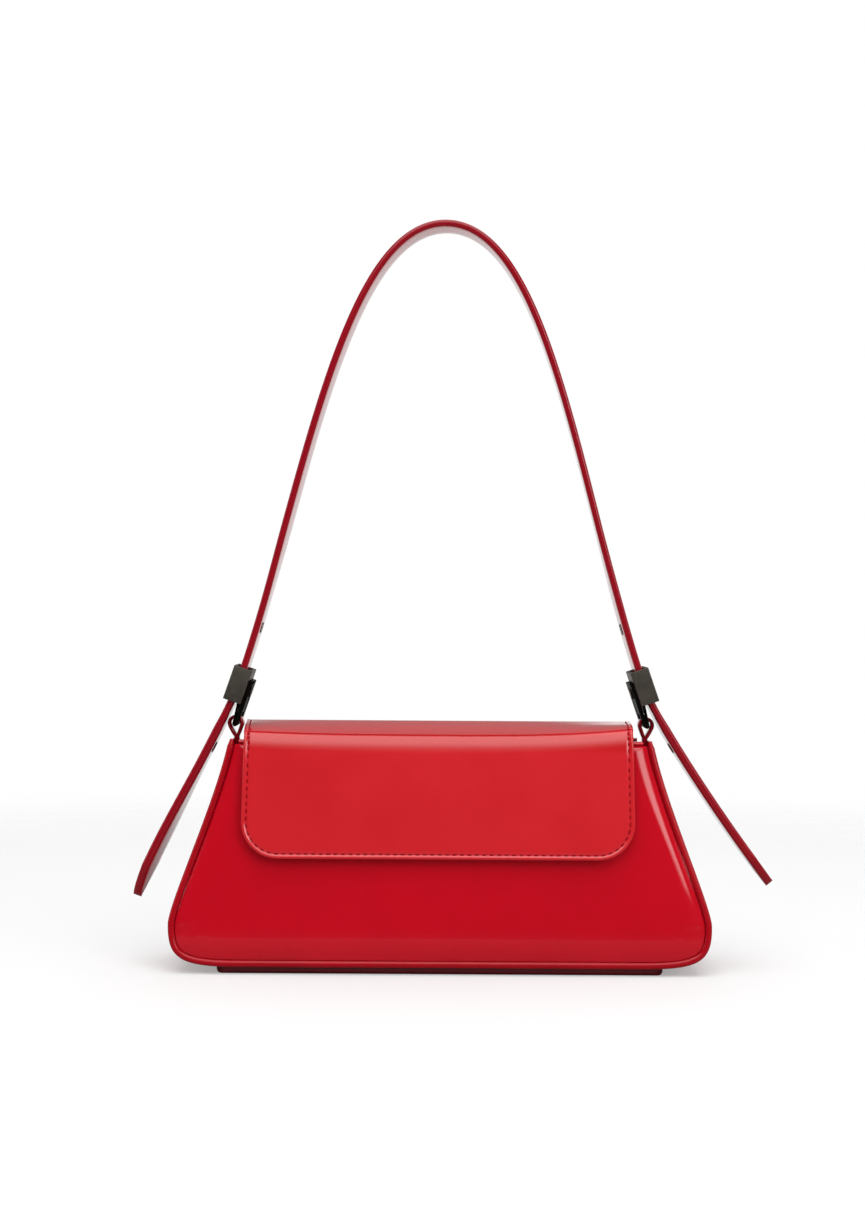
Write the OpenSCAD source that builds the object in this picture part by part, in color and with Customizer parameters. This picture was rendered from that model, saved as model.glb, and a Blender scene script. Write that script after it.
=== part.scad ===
// Baguette shoulder bag: a stiffened, trapezoid body with piped seams, a folded front flap with a
// magnetic snap, and one long strap that runs through a sleeve buckle on each side.
// Millimetres. +Z is up, the front faces -Y, and the origin is the middle of the base on the ground.

/* [Body] */
// Widest width of the bag, over the piping
body_w = 264.5; // [248:0.5:300]
// Width between the top corners, over the piping
top_w = 209.5; // [196:0.5:216]
// Height of the body's top edge above the ground
body_h = 111.5; // [98:0.5:130]
// Depth from seam to seam at the base
base_d = 60; // [52:1:80]
// Depth from seam to seam at the top
top_d = 30; // [28:1:36]
// Height of the widest line above the ground
belly_h = 24; // [18:0.5:30]
// Length of the straight run along the bottom
base_run = 196; // [170:1:216]
// Angle of the sides at the top, from upright
side_flare = 11; // [8:0.1:15]
// Height of the side seams' lowest line above the ground
seam_lift = 3.5; // [3:0.1:6]

/* [Leather and boards] */
// Radius of the piping cord
piping_r = 1.7; // [1.2:0.05:2]
// How far the panels stand out from their seams
panel_crown = 2.5; // [1.8:0.1:3.5]
// Thickness of the gusset strip
gusset_t = 1.2; // [0.8:0.1:1.8]
// Thickness of the stiffener boards in the panels
board_t = 1.2; // [0.8:0.1:2]
// Thickness of the lining
lining_t = 0.8; // [0.5:0.1:1.2]
// Thickness of the facing bands inside the mouth
facing_t = 1; // [0.6:0.1:1.4]
// Height of the facing bands
facing_h = 18; // [12:1:26]

/* [Base] */
// Length of the base panel
base_len = 218; // [150:1:226]
// Width of the base panel, front to back
base_w = 55; // [40:1:56]
// Corner radius of the base panel, seen from below
base_corner = 7; // [3:0.5:15]
// Bevel round the underside of the base panel
base_bevel = 1.2; // [0.5:0.1:2]

/* [Flap] */
// How far the flap's edges stay inside the body's top corners
flap_margin = 10.5; // [10:0.5:20]
// How much wider the flap is on each side at its back fold
flap_back_extra = 3; // [0:0.5:4]
// Length of the flap's front, from its fold to its lower edge
flap_drop = 60; // [40:0.5:80]
// How much wider the flap's lower edge is on each side
flap_flare = 1.5; // [0:0.5:4]
// Radius of the flap's lower corners
flap_corner = 18; // [8:0.5:30]
// Thickness of the flap's leather
flap_leather_t = 1.4; // [1:0.1:1.8]
// Thickness of the flap's lining
flap_lining_t = 1; // [0.8:0.1:1.4]
// Height of the front fold above the body's top edge
fold_rise_front = 3.7; // [3:0.1:6]
// Height of the back fold above the body's top edge
fold_rise_back = 7.2; // [5:0.1:9]
// How far the flap is sewn down the back
flap_back_drop = 22; // [12:1:40]

/* [Magnetic snap] */
// Gap between the panel and the flap's lining, filled by the closed snap
snap_gap = 3.2; // [2.8:0.1:4]
// Radius of the snap's socket and stud plate
snap_r = 9; // [7:0.5:10]
// Radius of the snap's centre pin
snap_pin_r = 2.6; // [1.8:0.1:3.2]
// Height of the snap's centre above the flap's lower edge
snap_up = 16; // [13:0.5:24]
// Thickness of the backplate in the flap's lining
flap_backplate_t = 0.4; // [0.3:0.05:0.6]

/* [Leather tabs] */
// Width of the tabs, front to back
tab_w = 8; // [6:0.5:9]
// Thickness of one ply of the tabs
tab_ply = 1.3; // [1:0.1:1.5]
// Radius of the open eye in the tabs' loop
eye_r = 2.35; // [2.25:0.05:2.8]
// Length of the tabs' sewn stem inside the body
tab_stem = 17; // [12:1:28]

/* [Buckles] */
// Height of the hanger's bar above the body's top edge
bar_rise = 8.7; // [8.6:0.1:11]
// Distance of the bar inside the body's top corners
bar_inset = 2.9; // [2.6:0.1:3.4]
// Lean of the buckles from upright
buckle_lean = 19; // [14:0.5:22]
// Outer width of the sleeve, front to back
sleeve_w = 24; // [23:0.5:28]
// Outer thickness of the sleeve
sleeve_d = 9.3; // [8.6:0.1:11]
// Height of the sleeve
sleeve_h = 17.5; // [14:0.5:22]
// Wall of the sleeve
sleeve_wall = 1.2; // [0.8:0.1:1.4]
// Radius of the hanger's bar
bar_r = 1.3; // [1:0.05:1.35]
// Thickness of the hanger's plate
hanger_t = 1.8; // [1.4:0.1:2.2]
// Thickness of the hanger's second leaf
leaf_t = 0.9; // [0.6:0.1:1.1]
// Distance from the bar up to the sleeve's lower rim
sleeve_up = 10; // [8.5:0.5:14]
// How far the hanger's plate ends below the sleeve's upper rim
plate_short = 5; // [2:0.5:9]

/* [Strap] */
// Width of the strap
strap_w = 20; // [17:0.5:20]
// Thickness of the strap, both plies together
strap_t = 3.5; // [2.5:0.1:4.2]
// Height of the strap's top above the ground
strap_top = 370.5; // [300:0.5:420]
// Sideways shift of the strap's top, to the right
strap_shift = 1.3; // [-6:0.1:6]
// Reach of the left tail's tip outside the body's top corners
tail_reach_left = 45.5; // [36:0.5:52]
// Height of the left tail's tip above the ground
tail_tip_left = 36; // [28:0.5:50]
// Lean of the left tail's tip from upright
tail_lean_left = 18; // [12:1:24]
// Reach of the right tail's tip outside the body's top corners
tail_reach_right = 60; // [52:0.5:66]
// Height of the right tail's tip above the ground
tail_tip_right = 41.5; // [34:0.5:54]
// Lean of the right tail's tip from upright
tail_lean_right = 40; // [34:1:46]
// Length of the tails' pointed ends
tail_point = 17; // [10:0.5:24]
// Distance between the eyelets
eyelet_pitch = 32; // [26:0.5:36]
// Radius of the eyelets' hole
eyelet_hole_r = 2; // [1.8:0.05:2.3]
// Width of the eyelets' flange, outside their tube
eyelet_flange = 0.6; // [0.4:0.05:1]
// Wall of the eyelets' tube
eyelet_wall = 0.35; // [0.25:0.05:0.5]

/* [Clearances] */
// Clearance of a folding edge round its fold line
fold_gap = 0.3; // [0.2:0.05:0.4]
// Clearance of a piece that seats on a soft neighbour
seat_gap = 0.05; // [0.02:0.01:0.1]
// Clearance of a peg or a tube in its hole
pin_gap = 0.05; // [0.02:0.01:0.1]

/* [Hidden] */
$fn = 48;

// Colours
red = "#be0220";
red_flap = "#cd262d";
red_edge = "#910f1e";
lining_red = "#7d0f18";
board_grey = "#8d8578";
gunmetal = "#4b4640";
silver = "#b9b7b2";

FRONT = -1;
BACK = 1;
LEFT = -1;
RIGHT = 1;
over = 6;           // how far a cutter passes the surface that it cuts
far = 400;          // longer than the bag in any direction
side_steps = 14;    // points along each side
corner_steps = 9;   // points round each lower corner
cord_sides = 8;
leg_steps = 22;     // points along each leg of the strap
tail_steps = 10;    // points along each tail

// Curves

function bez(p, t) = pow(1 - t, 3) * p[0] + 3 * pow(1 - t, 2) * t * p[1]
    + 3 * (1 - t) * t * t * p[2] + pow(t, 3) * p[3];
function bez_dir(p, t) = let (v = pow(1 - t, 2) * (p[1] - p[0]) + 2 * (1 - t) * t * (p[2] - p[1])
    + t * t * (p[3] - p[2])) v / norm(v);
function reverse(list) = [for (i = [len(list) - 1:-1:0]) list[i]];
function mirrored(list) = [for (p = list) [-p[0], p[1]]];

// Outline of the body in the XZ plane. The right side is a flaring curve from the top corner to the
// widest point, and the lower corner is a full curve from there to the straight bottom run.
side_handle = 0.34 * (body_h - belly_h);
belly_handle = 0.11 * (body_h - belly_h);
corner_fullness = 0.82;
side_curve = [
    [top_w / 2, body_h],
    [top_w / 2 + side_handle * sin(side_flare), body_h - side_handle * cos(side_flare)],
    [body_w / 2, belly_h + belly_handle],
    [body_w / 2, belly_h]];
corner_curve = [
    [body_w / 2, belly_h],
    [body_w / 2, belly_h - corner_fullness * (belly_h - seam_lift)],
    [base_run / 2 + corner_fullness * (body_w - base_run) / 2, seam_lift],
    [base_run / 2, seam_lift]];

// A point of a curve, moved inwards by inset
function inset_point(curve, t, inset) =
    let (v = bez_dir(curve, t)) bez(curve, t) + inset * [v[1], -v[0]];
// The top corner moved inwards, then slid along the side to the height top
function top_point(inset, top) =
    let (v = bez_dir(side_curve, 0), p = inset_point(side_curve, 0, inset))
    p + v * (top - p[1]) / v[1];
function half_outline(inset, top) = concat(
    [top_point(inset, top)],
    [for (i = [1:side_steps]) inset_point(side_curve, i / side_steps, inset)],
    [for (i = [1:corner_steps]) inset_point(corner_curve, i / corner_steps, inset)]);
// From the top right corner, down and round to the top left corner
function outline(inset, top) =
    let (half = half_outline(inset, top)) concat(half, reverse(mirrored(half)));

// The seam planes lean inwards from the base to the top
lean = atan((base_d - top_d) / 2 / body_h);
function seam_y(z) = base_d / 2 - z * tan(lean);

// Body layers, as insets from the outline and depths inside the seam planes
panel_inset = 2 * piping_r + 0.2;
gusset_out = 0.4;
gusset_in = gusset_out + gusset_t;
stem_in = gusset_in + seat_gap + 2 * tab_ply;
lining_inset = stem_in + 2 * seat_gap;
board_depth = seat_gap + board_t;
lining_depth = board_depth + seat_gap;
inner_depth = lining_depth + lining_t;
inner_inset = lining_inset + lining_t;

module outline_prism(inset, top) {
    rotate([90, 0, 0]) linear_extrude(far, center = true) polygon(outline(inset, top));
}

// Everything between the two seam planes, each moved inwards by depth
module between_seams(depth, low, high) {
    rotate([90, 0, 90]) linear_extrude(far, center = true) polygon([
        [-seam_y(low) + depth, low], [seam_y(low) - depth, low],
        [seam_y(high) - depth, high], [-seam_y(high) + depth, high]]);
}

// A leaning layer on one side, between two depths inside its seam plane
module seam_layer(side, depth_out, depth_in, low, high) {
    rotate([90, 0, 90]) linear_extrude(far, center = true) polygon([
        [side * (seam_y(low) - depth_out), low], [side * (seam_y(low) - depth_in), low],
        [side * (seam_y(high) - depth_in), high], [side * (seam_y(high) - depth_out), high]]);
}

// Panels: rings of the outline that draw in as they stand out, like leather turned over its board.
// Each ring is [inset at the sides, drop at the top edge, distance out of the seam plane].
panel_rings = [
    [panel_inset, 0, 0],
    [panel_inset, 0, 0.4 * panel_crown],
    [panel_inset + 0.8, 0.3, 0.72 * panel_crown],
    [panel_inset + 2.6, 0.8, 0.92 * panel_crown],
    [panel_inset + 6, 1.6, panel_crown]];

module panel(side) {
    rings = [for (r = panel_rings) [for (p = outline(r[0], body_h - r[1]))
        [p[0], side * (seam_y(p[1]) + r[2]), p[1]]]];
    n = len(rings[0]);
    m = len(rings);
    points = [for (ring = rings) each ring];
    inner = [for (i = [0:n - 1]) i];
    outer = [for (i = [n - 1:-1:0]) (m - 1) * n + i];
    walls = [for (k = [0:m - 2]) for (i = [0:n - 1])
        let (j = (i + 1) % n) [k * n + i, (k + 1) * n + i, (k + 1) * n + j, k * n + j]];
    faces = concat([inner, outer], walls);
    polyhedron(points, side == FRONT ? [for (f = faces) reverse(f)] : faces, convexity = 4);
}

module front_panel() { color(red) panel(FRONT); }
module back_panel() { color(red) panel(BACK); }

// Piping: a round cord along the seam, a polygon section carried along the outline
module piping(side) {
    path = [for (p = outline(piping_r, body_h)) [p[0], side * seam_y(p[1]), p[1]]];
    n = len(path);
    plane_normal = [0, cos(lean), side * sin(lean)];
    points = [for (i = [0:n - 1])
        let (along = path[min(i + 1, n - 1)] - path[max(i - 1, 0)],
            inward = cross(along / norm(along), plane_normal))
        for (k = [0:cord_sides - 1])
            path[i] + piping_r * (cos(360 * k / cord_sides) * inward
                + sin(360 * k / cord_sides) * plane_normal)];
    walls = [for (i = [0:n - 2]) for (k = [0:cord_sides - 1])
        let (a = i * cord_sides, b = a + cord_sides, l = (k + 1) % cord_sides)
        [a + k, a + l, b + l, b + k]];
    caps = [[for (k = [cord_sides - 1:-1:0]) k],
        [for (k = [0:cord_sides - 1]) (n - 1) * cord_sides + k]];
    polyhedron(points, [for (f = concat(walls, caps)) reverse(f)], convexity = 6);
}

module piping_front() { color(red) piping(FRONT); }
module piping_back() { color(red) piping(BACK); }

// The gusset's edges stop behind the piping of both seams
module gusset() {
    color(red) intersection() {
        difference() {
            outline_prism(gusset_out, body_h);
            outline_prism(gusset_in, body_h + over);
        }
        between_seams(piping_r + seat_gap, 0, body_h + over);
    }
}

// A profile in the XZ or YZ plane with bevelled lower corners, for the base panel
module bevelled_profile(width, height, bevel) {
    polygon([[-width / 2 + bevel, 0], [width / 2 - bevel, 0], [width / 2, bevel],
        [width / 2, height], [-width / 2, height], [-width / 2, bevel]]);
}

module rounded_rectangle(width, height, r) {
    square([width - 2 * r, height], center = true);
    square([width, height - 2 * r], center = true);
    for (x = [-1, 1], y = [-1, 1])
        translate([x * (width / 2 - r), y * (height / 2 - r)]) circle(r);
}

// The bag stands on this panel, which meets the underside of the gusset
base_t = seam_lift + gusset_out;
module base_panel() {
    color(red) intersection() {
        linear_extrude(base_t) rounded_rectangle(base_len, base_w, base_corner);
        rotate([90, 0, 0]) linear_extrude(far, center = true)
            bevelled_profile(base_len, base_t, base_bevel);
        rotate([90, 0, 90]) linear_extrude(far, center = true)
            bevelled_profile(base_w, base_t, base_bevel);
    }
}

// Board between the gusset's bottom and the lining
base_board_low = seam_lift + gusset_in + seat_gap;
base_board_high = seam_lift + lining_inset - seat_gap;
base_board_margin = 5;
module base_board() {
    color(board_grey) translate([0, 0, base_board_low])
        linear_extrude(base_board_high - base_board_low)
            rounded_rectangle(base_run - 2 * base_board_margin,
                2 * (seam_y(base_board_high) - inner_depth), base_corner);
}

board_top_gap = 2.5;
module board(side) {
    intersection() {
        outline_prism(lining_inset, body_h - board_top_gap);
        seam_layer(side, seat_gap, board_depth, 0, body_h);
    }
}

// Where the snap sits: its height on the front, and a frame square to the leaning panel
fold_front_z = body_h + fold_rise_front;
flap_t = flap_leather_t + flap_lining_t;
fold_front_y = -(seam_y(fold_front_z) + panel_crown + snap_gap + flap_t / 2 / cos(lean));
snap_z = fold_front_z - (flap_drop - snap_up) * cos(lean);
module at_snap(out) {
    translate([0, -seam_y(snap_z) - out, snap_z]) rotate([90 - lean, 0, 0]) children();
}
backplate_r = 0.78 * snap_r;

module front_board() {
    color(board_grey) difference() {
        board(FRONT);
        at_snap(0) cylinder(h = 2 * over, r = backplate_r + pin_gap, center = true);
    }
}

module back_board() { color(board_grey) board(BACK); }

module snap_backplate_body() {
    color(silver) at_snap(0) translate([0, 0, -board_depth * cos(lean)])
        cylinder(h = (board_t - seat_gap) * cos(lean), r = backplate_r);
}

// Lining: an open bag inside the boards and the gusset
module lining() {
    color(lining_red) difference() {
        intersection() {
            outline_prism(lining_inset, body_h - 1);
            between_seams(lining_depth, 0, body_h);
        }
        intersection() {
            outline_prism(inner_inset, body_h + over);
            between_seams(inner_depth, 0, body_h + over);
        }
    }
}

// Facing bands inside the mouth, on the lining
module facing(side) {
    intersection() {
        outline_prism(inner_inset + seat_gap, body_h);
        seam_layer(side, inner_depth + seat_gap, inner_depth + seat_gap + facing_t,
            body_h - facing_h, body_h);
    }
}

module facing_front() { color(red) facing(FRONT); }
module facing_back() { color(red) facing(BACK); }

// Flat pocket patch sewn on the lining of the back
pocket_w = 110;
pocket_h = 55;
pocket_gap_top = 6;
pocket_t = 1;
module slip_pocket() {
    color(lining_red) intersection() {
        seam_layer(BACK, inner_depth + seat_gap, inner_depth + seat_gap + pocket_t,
            body_h - facing_h - pocket_gap_top - pocket_h, body_h - facing_h - pocket_gap_top);
        cube([pocket_w, far, far], center = true);
    }
}

// Leather tabs. The loop is a teardrop in the XZ plane: an arc with two tangents to its lower point.
bar_x = top_w / 2 - bar_inset;
bar_z = body_h + bar_rise;
eye_shift = 0.45;         // the eye's centre lies this far outside the bar
stem_centre = gusset_in + seat_gap + tab_ply;
stem_top = top_point(stem_centre, body_h + 1);
eye_centre = [bar_x + eye_shift, bar_z];
arc_steps = 20;

function teardrop(centre, r, tip) =
    let (v = tip - centre, reach = norm(v), half = acos(r / reach), base = atan2(v[1], v[0]))
    concat([tip], [for (i = [0:arc_steps])
        let (a = base + half + (360 - 2 * half) * i / arc_steps) centre + r * [cos(a), sin(a)]]);

// One face of the stem, which follows the inside of the gusset for the length of the stem
function stem_face(inset) =
    let (last = tab_stem / (3 * side_handle), steps = 5)
    concat([top_point(inset, stem_top[1])],
        [for (i = [1:steps]) inset_point(side_curve, last * i / steps, inset)]);

module tab() {
    eye_tip = stem_top + 0.28 * (eye_centre - stem_top);
    outer_tip = stem_top + 0.2 * (stem_top - eye_centre);
    rotate([90, 0, 0]) difference() {
        union() {
            linear_extrude(tab_w, center = true)
                polygon(teardrop(eye_centre, eye_r + tab_ply, outer_tip));
            linear_extrude(tab_w, center = true)
                polygon(concat(stem_face(gusset_in + seat_gap),
                    reverse(stem_face(gusset_in + seat_gap + 2 * tab_ply))));
        }
        linear_extrude(tab_w + over, center = true)
            polygon(teardrop(eye_centre, eye_r, eye_tip));
    }
}

module tab_left() { color(red) mirror([1, 0, 0]) tab(); }
module tab_right() { color(red) tab(); }

// Snap: a socket ring on the panel, and a plate with a centre pin on the flap
snap_gap_square = snap_gap * cos(lean);
stud_plate_t = 0.8;
snap_play = 0.2;
socket_t = snap_gap_square - stud_plate_t - snap_play;
shank_r = 1.5;
module snap_socket() {
    color(silver) at_snap(panel_crown) translate([0, 0, seat_gap]) difference() {
        cylinder(h = socket_t - seat_gap, r = snap_r);
        translate([0, 0, -over]) cylinder(h = 2 * over, r = snap_pin_r + 2 * snap_play);
    }
}

module snap_stud() {
    color(silver) at_snap(panel_crown) {
        translate([0, 0, socket_t + snap_play])
            cylinder(h = stud_plate_t - seat_gap, r = snap_r);
        translate([0, 0, snap_play]) cylinder(h = socket_t + snap_play, r = snap_pin_r);
        translate([0, 0, snap_gap_square - stud_plate_t / 2])
            cylinder(h = stud_plate_t / 2 + flap_lining_t - flap_backplate_t, r = shank_r);
    }
}

// Flap. Its three stretches fold on two lines along X. A stretch is built flat: the outer leather is
// on top, and its ends clear the round fold edge of the next stretch.
fold_r = flap_t / 2;
fold_back_z = body_h + fold_rise_back;
fold_back_y = seam_y(fold_back_z) + panel_crown + seat_gap + flap_leather_t / 2 / cos(lean);
band_len = norm([fold_back_y - fold_front_y, fold_back_z - fold_front_z]);
band_tilt = atan2(fold_back_z - fold_front_z, fold_back_y - fold_front_y);
flap_half = top_w / 2 - flap_margin;
flap_back_half = flap_half + flap_back_extra;

module at_fold_front() { translate([0, fold_front_y, fold_front_z]) children(); }
module at_fold_back() { translate([0, fold_back_y, fold_back_z]) children(); }

// A round fold edge with a sheet that hangs from it, seen along X. The sheet runs from near to away,
// both measured from the fold line.
fold_steps = 16;
function fold_profile(near, away, drop) =
    let (from = -acos(away / fold_r), to = 360 - acos(near / fold_r))
    concat([[near, -drop], [away, -drop]], [for (i = [0:fold_steps])
        let (a = from + (to - from) * i / fold_steps) fold_r * [cos(a), sin(a)]]);
module folded(near, away, drop, width) {
    rotate([90, 0, 90]) linear_extrude(width, center = true)
        polygon(fold_profile(near, away, drop));
}

// Lower edge with round corners, seen from the front: x, and distance down from the fold
flap_corner_steps = 10;
flap_shape = let (low = flap_half + flap_flare, r = flap_corner,
        half = concat([[flap_half, fold_r], [flap_half, 0]], [for (i = [0:flap_corner_steps])
            let (a = -90 * i / flap_corner_steps)
            [low - r + r * cos(a), -flap_drop + r + r * sin(a)]]))
    concat(half, reverse(mirrored(half)));

module band(low, high) {
    at_fold_front() rotate([band_tilt, 0, 0]) difference() {
        translate([0, 0, low]) linear_extrude(high - low) polygon([
            [-flap_half, 0], [flap_half, 0], [flap_back_half, band_len], [-flap_back_half, band_len]]);
        for (y = [0, band_len]) translate([0, y, 0]) rotate([0, 90, 0])
            cylinder(h = far, r = fold_r + fold_gap, center = true);
    }
}

module flap_top() { color(red_flap) band(fold_r - flap_leather_t, fold_r); }
module flap_top_lining() { color(lining_red) band(-fold_r, fold_r - flap_leather_t); }

module flap_front() {
    color(red_flap) at_fold_front() rotate([-lean, 0, 0]) intersection() {
        folded(-fold_r, flap_leather_t - fold_r, flap_drop + over, far);
        rotate([90, 0, 0]) linear_extrude(far, center = true) polygon(flap_shape);
    }
}

module flap_front_lining() {
    color(lining_red) difference() {
        at_fold_front() rotate([-lean, 0, 0]) intersection() {
            translate([0, fold_r, 0]) rotate([90, 0, 0])
                linear_extrude(flap_lining_t) polygon(flap_shape);
            translate([0, 0, -flap_t - far / 2]) cube(far, center = true);
        }
        at_snap(panel_crown) {
            translate([0, 0, snap_gap_square - over]) cylinder(h = 2 * over, r = shank_r + pin_gap);
            translate([0, 0, snap_gap_square + flap_lining_t - flap_backplate_t])
                cylinder(h = over, r = backplate_r + pin_gap);
        }
    }
}

module snap_backplate_flap() {
    color(silver) at_snap(panel_crown)
        translate([0, 0, snap_gap_square + flap_lining_t - flap_backplate_t])
            cylinder(h = flap_backplate_t - seat_gap, r = backplate_r);
}

// The stretch that is sewn down the back panel
module flap_back() {
    color(red_flap) at_fold_back() rotate([lean, 0, 0])
        folded(-flap_leather_t / 2, flap_leather_t / 2, flap_back_drop, 2 * flap_back_half);
}

// Buckles, in a frame at the bar: X out of the bag, Z up along the leaning sleeve
module at_bar(side) {
    mirror([side == LEFT ? 1 : 0, 0, 0]) translate([bar_x, 0, bar_z])
        rotate([0, -buckle_lean, 0]) children();
}
plate_out = hanger_t - bar_r;                // outer face of the plate, which the sleeve sits on
sleeve_mid = plate_out + sleeve_d / 2;
peg_r = eyelet_hole_r - 0.2;
peg_drop = 2;                                // the peg sits this far below the sleeve's middle
peg_up = sleeve_up + sleeve_h / 2 - peg_drop;
sleeve_edge = 0.7;

module sleeve(side) {
    at_bar(side) difference() {
        translate([sleeve_mid, 0, sleeve_up]) linear_extrude(sleeve_h) difference() {
            rounded_rectangle(sleeve_d, sleeve_w, sleeve_edge);
            square([sleeve_d - 2 * sleeve_wall, sleeve_w - 2 * sleeve_wall], center = true);
        }
        translate([plate_out - over, 0, peg_up]) rotate([0, 90, 0])
            cylinder(h = over + 2 * sleeve_wall, r = peg_r + pin_gap);
    }
}

module sleeve_left() { color(gunmetal) sleeve(LEFT); }
module sleeve_right() { color(gunmetal) sleeve(RIGHT); }

// Hanger: a plate on the sleeve's inner face, bent round the bar into a thinner leaf that ends under
// the sleeve. A window in both lets the leather loop through.
hanger_w = sleeve_w - 2;
window_w = tab_w + 2;
window_high = 6.2;
leaf_spread = 1.2;
module hanger(side) {
    at_bar(side) difference() {
        rotate([90, 0, 0]) linear_extrude(hanger_w, center = true) {
            circle(bar_r);
            translate([-bar_r, 0]) square([hanger_t, sleeve_up + sleeve_h - plate_short]);
            polygon([[bar_r - leaf_t, 0], [bar_r, 0],
                [bar_r + leaf_spread, sleeve_up], [bar_r + leaf_spread - leaf_t, sleeve_up]]);
        }
        difference() {
            translate([-over, -window_w / 2, 0]) cube([2 * over, window_w, window_high]);
            rotate([90, 0, 0]) cylinder(h = far, r = bar_r, center = true);
        }
        translate([-over, 0, peg_up]) rotate([0, 90, 0]) cylinder(h = 2 * over, r = peg_r + pin_gap);
    }
}

module hanger_left() { color(gunmetal) hanger(LEFT); }
module hanger_right() { color(gunmetal) hanger(RIGHT); }

// Peg: a low round head on the plate, a shank through plate and sleeve, and a round nose that stands
// in the strap's eyelet
peg_head_r = 2.8;
peg_head_t = 0.7;
module peg(side) {
    reach = sleeve_mid + strap_t / 2 + 0.4 - peg_r / 2;
    at_bar(side) translate([-bar_r, 0, peg_up]) rotate([0, 90, 0]) {
        translate([0, 0, -peg_head_t]) cylinder(h = peg_head_t, r = peg_head_r);
        cylinder(h = reach + bar_r, r = peg_r);
        translate([0, 0, reach + bar_r]) intersection() {
            sphere(peg_r);
            cylinder(h = peg_r / 2, r = peg_r);
        }
    }
}

module peg_left() { color(gunmetal) peg(LEFT); }
module peg_right() { color(gunmetal) peg(RIGHT); }

// Strap. Its middle line in the XZ plane, from the left tip over the top to the right tip
lean_dir = [-sin(buckle_lean), cos(buckle_lean)];
sleeve_centre = [bar_x, bar_z] + (sleeve_up + sleeve_h / 2) * lean_dir
    + sleeve_mid * [cos(buckle_lean), sin(buckle_lean)];
leg_rise = strap_top - strap_t / 2 - sleeve_centre[1];
leg_handle = 0.42 * leg_rise;
crown_handle = 0.52 * sleeve_centre[0];
tail_handle_top = 20;
tail_handle_tip = 24;

// Right half of the middle line, tip to top; the left half is the same with its own sizes, mirrored
function half_strap(reach, tip_z, tip_lean, shift) =
    let (tip = [top_w / 2 + reach, tip_z],
        top = [shift, sleeve_centre[1] + leg_rise],
        tail = [tip, tip + tail_handle_tip * [-sin(tip_lean), cos(tip_lean)],
            sleeve_centre - tail_handle_top * lean_dir, sleeve_centre],
        leg = [sleeve_centre, sleeve_centre + leg_handle * lean_dir,
            top + [crown_handle, 0], top])
    concat([for (i = [0:tail_steps]) bez(tail, i / tail_steps)],
        [for (i = [1:leg_steps]) bez(leg, i / leg_steps)]);
half_left = half_strap(tail_reach_left, tail_tip_left, tail_lean_left, -strap_shift);
half_right = half_strap(tail_reach_right, tail_tip_right, tail_lean_right, strap_shift);
strap_line = concat(mirrored(half_left),
    reverse([for (i = [0:len(half_right) - 2]) half_right[i]]));

function line_dir(line, i) = let (v = line[min(i + 1, len(line) - 1)] - line[max(i - 1, 0)])
    v / norm(v);
// A line moved sideways, to the left of its direction
function shifted(line, d) = [for (i = [0:len(line) - 1])
    let (v = line_dir(line, i)) line[i] + d * [-v[1], v[0]]];
// The point at a distance along a line, and the direction there
function point_along(line, s, i = 0) =
    let (v = line[i + 1] - line[i], l = norm(v))
    s <= l || i == len(line) - 2 ? [line[i] + v * s / l, v / l] : point_along(line, s - l, i + 1);
function length_to(line, last, i = 0) =
    i >= last ? 0 : norm(line[i + 1] - line[i]) + length_to(line, last, i + 1);

// Eyelet places on the middle line: one on the peg, one above and one below it
function eyelet_places(side) =
    let (line = side == LEFT ? mirrored(half_left) : half_right,
        at_peg = length_to(line, tail_steps) - peg_drop)
    [for (k = [-1:1]) point_along(line, at_peg + k * eyelet_pitch)];
eyelet_r = eyelet_hole_r + eyelet_wall;

// Stands a child's Z axis square to the strap at a place
module at_place(place) {
    translate([place[0][0], 0, place[0][1]])
        rotate([0, atan2(-place[1][1], place[1][0]), 0]) children();
}

// What is cut away at a tail's end: all but a blunt, rounded point
module point_cutter(place) {
    steps = 12;
    half = [for (i = [0:steps]) let (s = tail_point * pow(i / steps, 2))
        [s, strap_w / 2 * pow(s / tail_point, 0.55)]];
    shape = concat(half, reverse([for (i = [1:steps]) [half[i][0], -half[i][1]]]));
    at_place(place) linear_extrude(3 * strap_t, center = true) difference() {
        translate([-over, -strap_w]) square([over + tail_point, 2 * strap_w]);
        polygon(shape);
        translate([tail_point - 0.01, -strap_w]) square([1, 2 * strap_w]);
    }
}

module strap_ply(from, to) {
    difference() {
        rotate([90, 0, 0]) linear_extrude(strap_w, center = true)
            polygon(concat(shifted(strap_line, from), reverse(shifted(strap_line, to))));
        for (side = [LEFT, RIGHT], place = eyelet_places(side))
            at_place(place) cylinder(h = 3 * strap_t, r = eyelet_r + pin_gap, center = true);
        point_cutter([mirrored(half_left)[0], line_dir(mirrored(half_left), 0)]);
        point_cutter([half_right[0], line_dir(half_right, 0)]);
    }
}

module strap_outer() { color(red_edge) strap_ply(0, strap_t / 2); }
module strap_lining() { color(red_edge) strap_ply(-strap_t / 2, 0); }

eyelet_flange_t = 0.35;
module eyelets(side) {
    half = strap_t / 2 + seat_gap + eyelet_flange_t;
    for (place = eyelet_places(side)) at_place(place) difference() {
        union() {
            cylinder(h = 2 * half, r = eyelet_r, center = true);
            for (k = [-1, 1]) translate([0, 0, k * (half - eyelet_flange_t / 2)])
                cylinder(h = eyelet_flange_t, r = eyelet_r + eyelet_flange, center = true);
        }
        cylinder(h = 3 * strap_t, r = eyelet_hole_r, center = true);
    }
}

module eyelets_left() { color(silver) eyelets(LEFT); }
module eyelets_right() { color(silver) eyelets(RIGHT); }

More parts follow.
